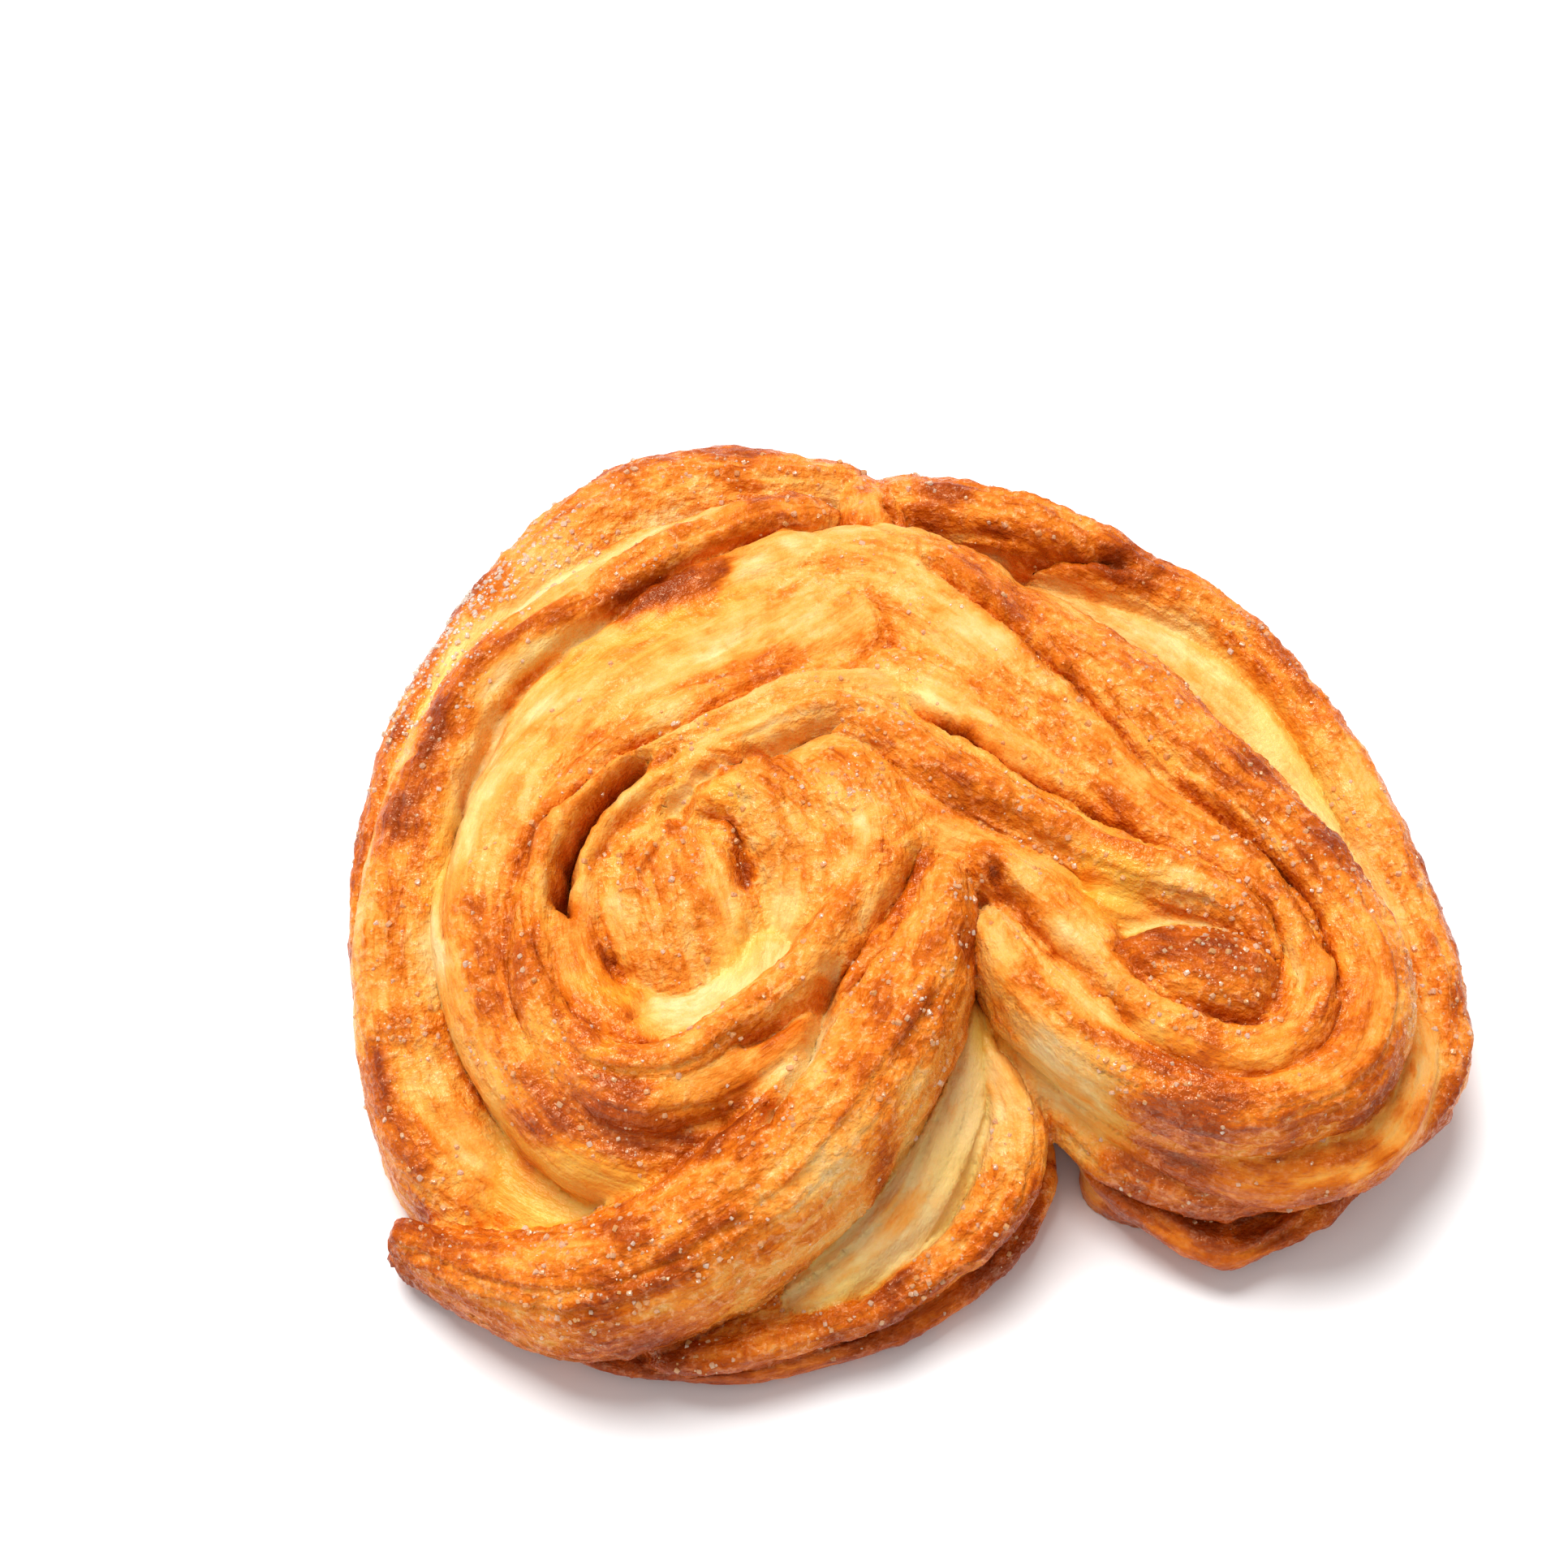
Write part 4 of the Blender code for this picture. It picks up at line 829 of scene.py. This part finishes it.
# The crust: thin baked skin under a glaze of egg and sugar. Its colours run from raw dough in the hollows
# to scorched ridges, the beads of sugar on it are a pinkish white that is partly their own colour and
# partly painted glints, and melted sugar lets the crust show through an amber film.
CRUST_COLOURS = [
    (RAW_DOUGH, (0.80, 0.58, 0.27)),
    (0.00, (0.78, 0.43, 0.135)),
    (0.20, (0.79, 0.345, 0.068)),
    (0.38, (0.75, 0.235, 0.026)),
    (0.56, (0.62, 0.143, 0.007)),
    (0.74, (0.45, 0.080, 0.003)),
    (0.90, (0.35, 0.054, 0.003)),
    (1.00, (0.26, 0.036, 0.003)),
]
BEAD_AND_GLINT_COLOUR = (1.0, 0.62, 0.34, 1)
SYRUP_TINT = (1.0, 0.88, 0.32, 1)
GLAZE_TINT = (1.0, 0.82, 0.52, 1)
GLAZE_IOR = 1.38
GLOW_WEIGHT = 0.22
GLOW_RADIUS = (1.0, 0.35, 0.1)
GLOW_DEPTH = 0.002
BUMP_HEIGHT = 0.001
BUMP_STRENGTH = 0.9


def feed(tree, socket, value):
    """The value set on a socket, or linked to it where it is another socket."""
    if isinstance(value, bpy.types.NodeSocket):
        tree.links.new(value, socket)
    else:
        socket.default_value = value


def node(tree, kind, **inputs):
    """A shader node with its named inputs fed."""
    made = tree.nodes.new(kind)
    for name, value in inputs.items():
        feed(tree, made.inputs[name.replace("_", " ")], value)
    return made


def attribute(tree, name):
    """A value stored on the points of the mesh."""
    made = tree.nodes.new("ShaderNodeAttribute")
    made.attribute_name = name
    return made.outputs["Fac"]


def maths(tree, operation, *terms):
    """An operation on sockets and numbers."""
    made = tree.nodes.new("ShaderNodeMath")
    made.operation = operation
    for socket, term in zip(made.inputs, terms):
        feed(tree, socket, term)
    return made.outputs[0]


def product(tree, total, *factors):
    """Sockets and numbers multiplied together."""
    for factor in factors:
        total = maths(tree, "MULTIPLY", total, factor)
    return total


def sum_of(tree, start, *terms):
    """start plus each socket times its factor."""
    total = start
    for socket, factor in terms:
        total = maths(tree, "MULTIPLY_ADD", socket, factor, total)
    return total


def step_between(tree, value, low, high, to_low=0.0, to_high=1.0):
    """A smooth step from to_low to to_high as the value goes from low to high."""
    made = node(tree, "ShaderNodeMapRange", Value=value, From_Min=low, From_Max=high,
                To_Min=to_low, To_Max=to_high)
    made.interpolation_type = "SMOOTHSTEP"
    return made.outputs["Result"]


def texture(tree, where, scale, detail, roughness, distortion=0.0):
    """The value of a noise texture, mostly from 0.3 to 0.7."""
    return node(tree, "ShaderNodeTexNoise", Vector=where, Scale=scale, Detail=detail,
                Roughness=roughness, Distortion=distortion).outputs["Fac"]


def drawn_out(tree, where, along_fold, across_fold):
    """Places on a fold, with so many lumps a centimetre along it and across it."""
    scale = (along_fold, across_fold, 1.0)
    return node(tree, "ShaderNodeMapping", Vector=where, Scale=scale).outputs["Vector"]


def blend(tree, kind, share, below, above):
    """The colour above laid over the colour below, by a share from 0 to 1."""
    made = tree.nodes.new("ShaderNodeMix")
    made.data_type = "RGBA"
    made.blend_type = kind
    for number, value in ((0, share), (6, below), (7, above)):
        feed(tree, made.inputs[number], value)
    return made.outputs[2]


crust = bpy.data.materials.new("sugared crust")
crust.use_nodes = True
tree = crust.node_tree
shader = tree.nodes["Principled BSDF"]
place = tree.nodes.new("ShaderNodeTexCoord").outputs["Object"]
grain_map = tree.nodes.new("ShaderNodeUVMap")
grain_map.uv_map = "grain"
on_fold = grain_map.outputs["UV"]
baked, crumbs, amber = (attribute(tree, name) for name in ("bake", "crumbly", "syrup"))

# Torn fibres and scorch marks, drawn out along the folds
fibres = texture(tree, drawn_out(tree, on_fold, 2.0, 8.0), 1.0, 4.0, 0.62)
strands = texture(tree, drawn_out(tree, on_fold, 1.7, 15.0), 1.0, 3.0, 0.6, 0.3)
scorch = texture(tree, drawn_out(tree, on_fold, 1.5, 3.0), 1.0, 5.0, 0.6)

# Patches, flecks, crumbs and wrinkles that run no special way, in lumps a metre
PATCHES_PER_METRE = 130.0
FLECKS_PER_METRE = 900.0
CRUMBS_PER_METRE = 1050.0
WRINKLES_PER_METRE = 330.0
patches = texture(tree, place, PATCHES_PER_METRE, 4.0, 0.55)
flecks = texture(tree, place, FLECKS_PER_METRE, 3.0, 0.6)
crumb_noise = texture(tree, place, CRUMBS_PER_METRE, 2.0, 0.55)
folded = texture(tree, place, WRINKLES_PER_METRE, 2.0, 0.5, 0.8)
torn = step_between(tree, fibres, 0.40, 0.60)
blotches = step_between(tree, scorch, 0.40, 0.60)
mottle = step_between(tree, patches, 0.42, 0.58)
threads = product(tree, step_between(tree, strands, 0.54, 0.66),
                  step_between(tree, patches, 0.42, 0.56, 0.1), step_between(tree, baked, 0.1, 0.5, 0.15))
from_middle = maths(tree, "ABSOLUTE", sum_of(tree, -0.5, (folded, 1.0)))
wrinkles = product(tree, step_between(tree, from_middle, 0.0, 0.045, 1.0, 0.0), crumbs)
beads = product(tree, step_between(tree, crumb_noise, 0.50, 0.66), crumbs)
# The low gaps between the crumbs, made browner: partly painted shade between them
gaps_and_painted_shade = product(tree, step_between(tree, crumb_noise, 0.30, 0.48, 1.0, 0.0), crumbs)

# How brown the crust is: its bake, less the mean of the patterns laid over it. The tops of the sugar beads
# are paler, partly painted light, and the gaps between them are browner, partly painted shade.
PATTERNS_MEAN = 0.43
brown = sum_of(tree, -PATTERNS_MEAN, (baked, 1.0), (fibres, 0.14), (torn, 0.08), (blotches, 0.24),
               (flecks, 0.08), (mottle, 0.15), (threads, 0.17), (wrinkles, 0.04), (beads, -0.07),
               (gaps_and_painted_shade, 0.05))
colour_span = 1 - RAW_DOUGH
span_share = sum_of(tree, -RAW_DOUGH / colour_span, (brown, 1 / colour_span))
ramp = node(tree, "ShaderNodeValToRGB", Fac=span_share)
ramp.color_ramp.interpolation = "LINEAR"
stops = ramp.color_ramp.elements
stops[0].position, stops[0].color = 0, (*CRUST_COLOURS[0][1], 1)
stops[1].position, stops[1].color = 1, (*CRUST_COLOURS[-1][1], 1)
for browning, colour in CRUST_COLOURS[1:-1]:
    stops.new((browning - RAW_DOUGH) / colour_span).color = (*colour, 1)
tinted = blend(tree, "MULTIPLY", amber, ramp.outputs["Color"], SYRUP_TINT)
# Bead tops are mixed towards a pinkish white: partly sugar and partly painted glints
bead_white_and_painted_glint = product(tree, beads, step_between(tree, brown, 0.3, 0.9, 0.13, 0.03))
feed(tree, shader.inputs["Base Color"], blend(tree, "MIX", bead_white_and_painted_glint, tinted, BEAD_AND_GLINT_COLOUR))

# Sugar beads and amber shine, and bare crust is duller where it is pale
dull = step_between(tree, brown, 0.1, 0.9, 0.38, 0.27)
feed(tree, shader.inputs["Roughness"], sum_of(tree, dull, (beads, -0.14), (amber, -0.12)))
feed(tree, shader.inputs["Specular IOR Level"], sum_of(tree, 0.14, (beads, 0.6), (amber, 0.5)))
crumb_height = product(tree, crumb_noise, sum_of(tree, 0.25, (crumbs, 0.75)))
skin_height = sum_of(tree, 0.0, (fibres, 0.45), (patches, 0.6), (flecks, 0.2), (wrinkles, -0.03),
                     (crumb_height, 0.65))
bump = node(tree, "ShaderNodeBump", Height=skin_height, Distance=BUMP_HEIGHT, Strength=BUMP_STRENGTH)
feed(tree, shader.inputs["Normal"], bump.outputs["Normal"])
for name, value in (("IOR", GLAZE_IOR), ("Specular Tint", GLAZE_TINT), ("Subsurface Weight", GLOW_WEIGHT),
                    ("Subsurface Radius", GLOW_RADIUS), ("Subsurface Scale", GLOW_DEPTH)):
    shader.inputs[name].default_value = value

# The crust is one skin all round the bun. It is set out in four pieces that meet
# edge to edge: the sole, the two lobes, and the knot and tail between them.
LEFT_LOBE_TO = -22.0
RIGHT_LOBE_FROM = 12.0
FOLDS_APART_ON_MAP = 40.0
face_owner = owner[0][quads[:, 0]]
face_middle_x = points[quads, 0].mean(axis=1)
sole_face = on_sole[quads].all(axis=1)


def skin_piece(name, chosen):
    """The chosen quads of the skin as a piece in metres. Each face takes its place
    along and round from its own fold, in centimetres, so that the fine grain runs
    along the fold and breaks where two folds meet."""
    used, renumbered = np.unique(quads[chosen], return_inverse=True)
    mesh = bpy.data.meshes.new(name)
    mesh.from_pydata((points[used] * MM).tolist(), [], renumbered.reshape(-1, 4).tolist())
    mesh.shade_smooth()
    mesh.normals_split_custom_set_from_vertices(normals[used].tolist())
    corner_owner, corner_point = np.repeat(face_owner[chosen], 4), quads[chosen].ravel()
    round_it = all_rounds[corner_owner, corner_point] + FOLDS_APART_ON_MAP * corner_owner
    places = np.stack([all_runs[corner_owner, corner_point], round_it], axis=1) / 10
    mesh.uv_layers.new(name="grain").data.foreach_set("uv", places.ravel().astype(np.float32))
    for value_name, values in (("bake", bake), ("crumbly", crumbly), ("syrup", syrup)):
        layer = mesh.attributes.new(value_name, "FLOAT", "POINT")
        layer.data.foreach_set("value", values[used].astype(np.float32))
    mesh.materials.append(crust)
    piece = bpy.data.objects.new(name, mesh)
    bpy.context.scene.collection.objects.link(piece)
    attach(piece, "root")
    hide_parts("bun")


left_lobe, right_lobe = face_middle_x < LEFT_LOBE_TO, face_middle_x >= RIGHT_LOBE_FROM
skin_piece("sole", sole_face)
skin_piece("left_lobe", ~sole_face & left_lobe)
skin_piece("knot_and_tail", ~sole_face & ~left_lobe & ~right_lobe)
skin_piece("right_lobe", ~sole_face & right_lobe)

# The sugar: coarse crystals strewn on before baking. Heat has rounded their corners
# and sunk them into the crust; they let its colour through, and some are amber.
CRYSTALS = 2700
CRYSTAL_SIZE = (0.3, 0.85)
LARGE_ARE_FEW = 1.8
SIDES_VARY = (0.75, 1.15)
CORNERS_VARY = (0.93, 1.05)
CRYSTAL_LIFT = -0.1
ROUNDED = 0.55
MOSTLY_MELTED = 0.35
HEAPS_ABOVE = 12
CRYSTALS_ABOVE = 2
CLINGS_TO_SIDES = 0.15
BETWEEN_CLUMPS = 0.08
GROOVES_SPARED = 0.7

# Heaps of crystals, in plan: x, y, radius, how thick; and where they lie fresh
HEAPS = [(-50, 51, 6, 1.3), (-58, 44, 5, 2.4), (-64, 36, 5, 2.4), (-68, 26, 5, 1.8), (12, 6, 10, 0.12)]
FRESH_PLACES = [(-60, 40, 18, 0.9)]
draw = np.random.default_rng(4)
clump = rise_between(-0.3, 0.9, lumps(plain, 9, 41) + 0.5 * lumps(plain, 3, 42))
facing_up = np.clip(normals[:, 2] + CLINGS_TO_SIDES, 0, 1)
strewn = of_fold("sugared") * (BETWEEN_CLUMPS + clump) * crumbly * (1 - GROOVES_SPARED * in_groove)
chance = strewn + pooled(HEAPS, plain) * (points[:, 2] > HEAPS_ABOVE)
chance *= facing_up * (points[:, 2] > CRYSTALS_ABOVE)
chosen = draw.choice(len(points), CRYSTALS, replace=False, p=chance / chance.sum())


def rounded_cube():
    """One crystal: a cube of 24 quads, drawn part of the way to a ball."""
    steps = (-0.5, 0.0, 0.5)
    cube = np.array([(i, j, k) for k in steps for j in steps for i in steps])
    faces = []
    for axis in range(3):
        for side in (0, 2):
            for i in range(2):
                for j in range(2):
                    corners = [(i, j), (i + 1, j), (i + 1, j + 1), (i, j + 1)]
                    if (side == 2) == (axis == 1):
                        corners.reverse()
                    places = [corner[:axis] + (side,) + corner[axis:] for corner in corners]
                    faces.append([a + 3 * b + 9 * c for a, b, c in places])
    reach = np.maximum(np.linalg.norm(cube, axis=1), 1e-6)[:, None]
    return cube * (1 - ROUNDED) + ROUNDED * cube / reach * 0.5, np.array(faces)


def random_turns(count):
    """Turning matrices of random unit quaternions w + ix + jy + kz."""
    turn = draw.normal(size=(count, 4))
    w, i, j, k = (turn / np.linalg.norm(turn, axis=1)[:, None]).T
    return np.array([
        [1 - 2 * (j * j + k * k), 2 * (i * j - w * k), 2 * (i * k + w * j)],
        [2 * (i * j + w * k), 1 - 2 * (i * i + k * k), 2 * (j * k - w * i)],
        [2 * (i * k - w * j), 2 * (j * k + w * i), 1 - 2 * (i * i + j * j)]]).transpose(2, 0, 1)


cube, cube_faces = rounded_cube()
size = draw.random((CRYSTALS, 1, 1)) ** LARGE_ARE_FEW
size = CRYSTAL_SIZE[0] + (CRYSTAL_SIZE[1] - CRYSTAL_SIZE[0]) * size
size = size * draw.uniform(*SIDES_VARY, (CRYSTALS, 1, 3))
crystals = cube[None] * size * draw.uniform(*CORNERS_VARY, (CRYSTALS, len(cube), 1))
crystals = np.einsum("nij,nkj->nki", random_turns(CRYSTALS), crystals)
crystals += (points[chosen] + normals[chosen] * CRYSTAL_LIFT)[:, None]
crystal_faces = cube_faces[None] + len(cube) * np.arange(CRYSTALS)[:, None, None]
sugar_mesh = bpy.data.meshes.new("sugar_crystals")
sugar_mesh.from_pydata((crystals.reshape(-1, 3) * MM).tolist(), [], crystal_faces.reshape(-1, 4).tolist())
how_melted = draw.random(CRYSTALS) ** MOSTLY_MELTED * (1 - pooled(FRESH_PLACES, plain)[chosen])
melted = sugar_mesh.attributes.new("melted", "FLOAT", "POINT")
melted.data.foreach_set("value", np.repeat(how_melted, len(cube)).astype(np.float32))
sugar = bpy.data.objects.new("sugar_crystals", sugar_mesh)
bpy.context.scene.collection.objects.link(sugar)

CLEAR_COLOUR = (1.0, 0.88, 0.74, 1)
AMBER_COLOUR = (0.95, 0.47, 0.14, 1)
CRYSTAL_ROUGHNESS = 0.12
CRYSTAL_IOR = 1.5
LIGHT_LET_THROUGH = 0.5
crystal = bpy.data.materials.new("sugar")
crystal.use_nodes = True
tree = crystal.node_tree
glassy = tree.nodes["Principled BSDF"]
clear_to_amber = node(tree, "ShaderNodeValToRGB", Fac=attribute(tree, "melted"))
clear_to_amber.color_ramp.elements[0].color = CLEAR_COLOUR
clear_to_amber.color_ramp.elements[1].color = AMBER_COLOUR
feed(tree, glassy.inputs["Base Color"], clear_to_amber.outputs["Color"])
glassy.inputs["Roughness"].default_value = CRYSTAL_ROUGHNESS
glassy.inputs["IOR"].default_value = CRYSTAL_IOR
glassy.inputs["Transmission Weight"].default_value = LIGHT_LET_THROUGH
sugar_mesh.materials.append(crystal)
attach(sugar, "root")
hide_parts("bun")

# The table: a pale plain floor that the bun lies on. It is a hair below the sole,
# so that the two don't coincide.
FLOOR_HALF = 3.0
FLOOR_LEVEL = -0.0001
FLOOR_COLOUR = (0.93, 0.93, 0.93, 1)
FLOOR_ROUGHNESS = 0.7
FLOOR_SHINE = 0.1
floor_mesh = bpy.data.meshes.new("floor")
floor_mesh.from_pydata([(i * FLOOR_HALF, j * FLOOR_HALF, FLOOR_LEVEL)
                        for i, j in ((-1, -1), (1, -1), (1, 1), (-1, 1))], [], [(0, 1, 2, 3)])
floor = bpy.data.objects.new("floor", floor_mesh)
bpy.context.scene.collection.objects.link(floor)
white = bpy.data.materials.new("white floor")
white.use_nodes = True
matt = white.node_tree.nodes["Principled BSDF"]
matt.inputs["Base Color"].default_value = FLOOR_COLOUR
matt.inputs["Roughness"].default_value = FLOOR_ROUGHNESS
matt.inputs["Specular IOR Level"].default_value = FLOOR_SHINE
floor_mesh.materials.append(white)

# Studio light: a broad soft one from behind, a little to the left, and a pale
# room that fills the shadows
KEY_STRENGTH = 3.75
KEY_SPREAD = np.radians(36)
KEY_HEADING = (0.22, -0.36, -1.0)
ROOM_STRENGTH = 0.62
sun = bpy.data.lights.new("key", "SUN")
sun.energy = KEY_STRENGTH
sun.angle = KEY_SPREAD
key = bpy.data.objects.new("key", sun)
key.rotation_euler = Vector(KEY_HEADING).to_track_quat("-Z", "Y").to_euler()
bpy.context.scene.collection.objects.link(key)
room = bpy.data.worlds.new("room")
room.use_nodes = True
room.node_tree.nodes["Background"].inputs["Color"].default_value = (1, 1, 1, 1)
room.node_tree.nodes["Background"].inputs["Strength"].default_value = ROOM_STRENGTH
bpy.context.scene.world = room
bpy.context.scene.view_settings.view_transform = "Standard"
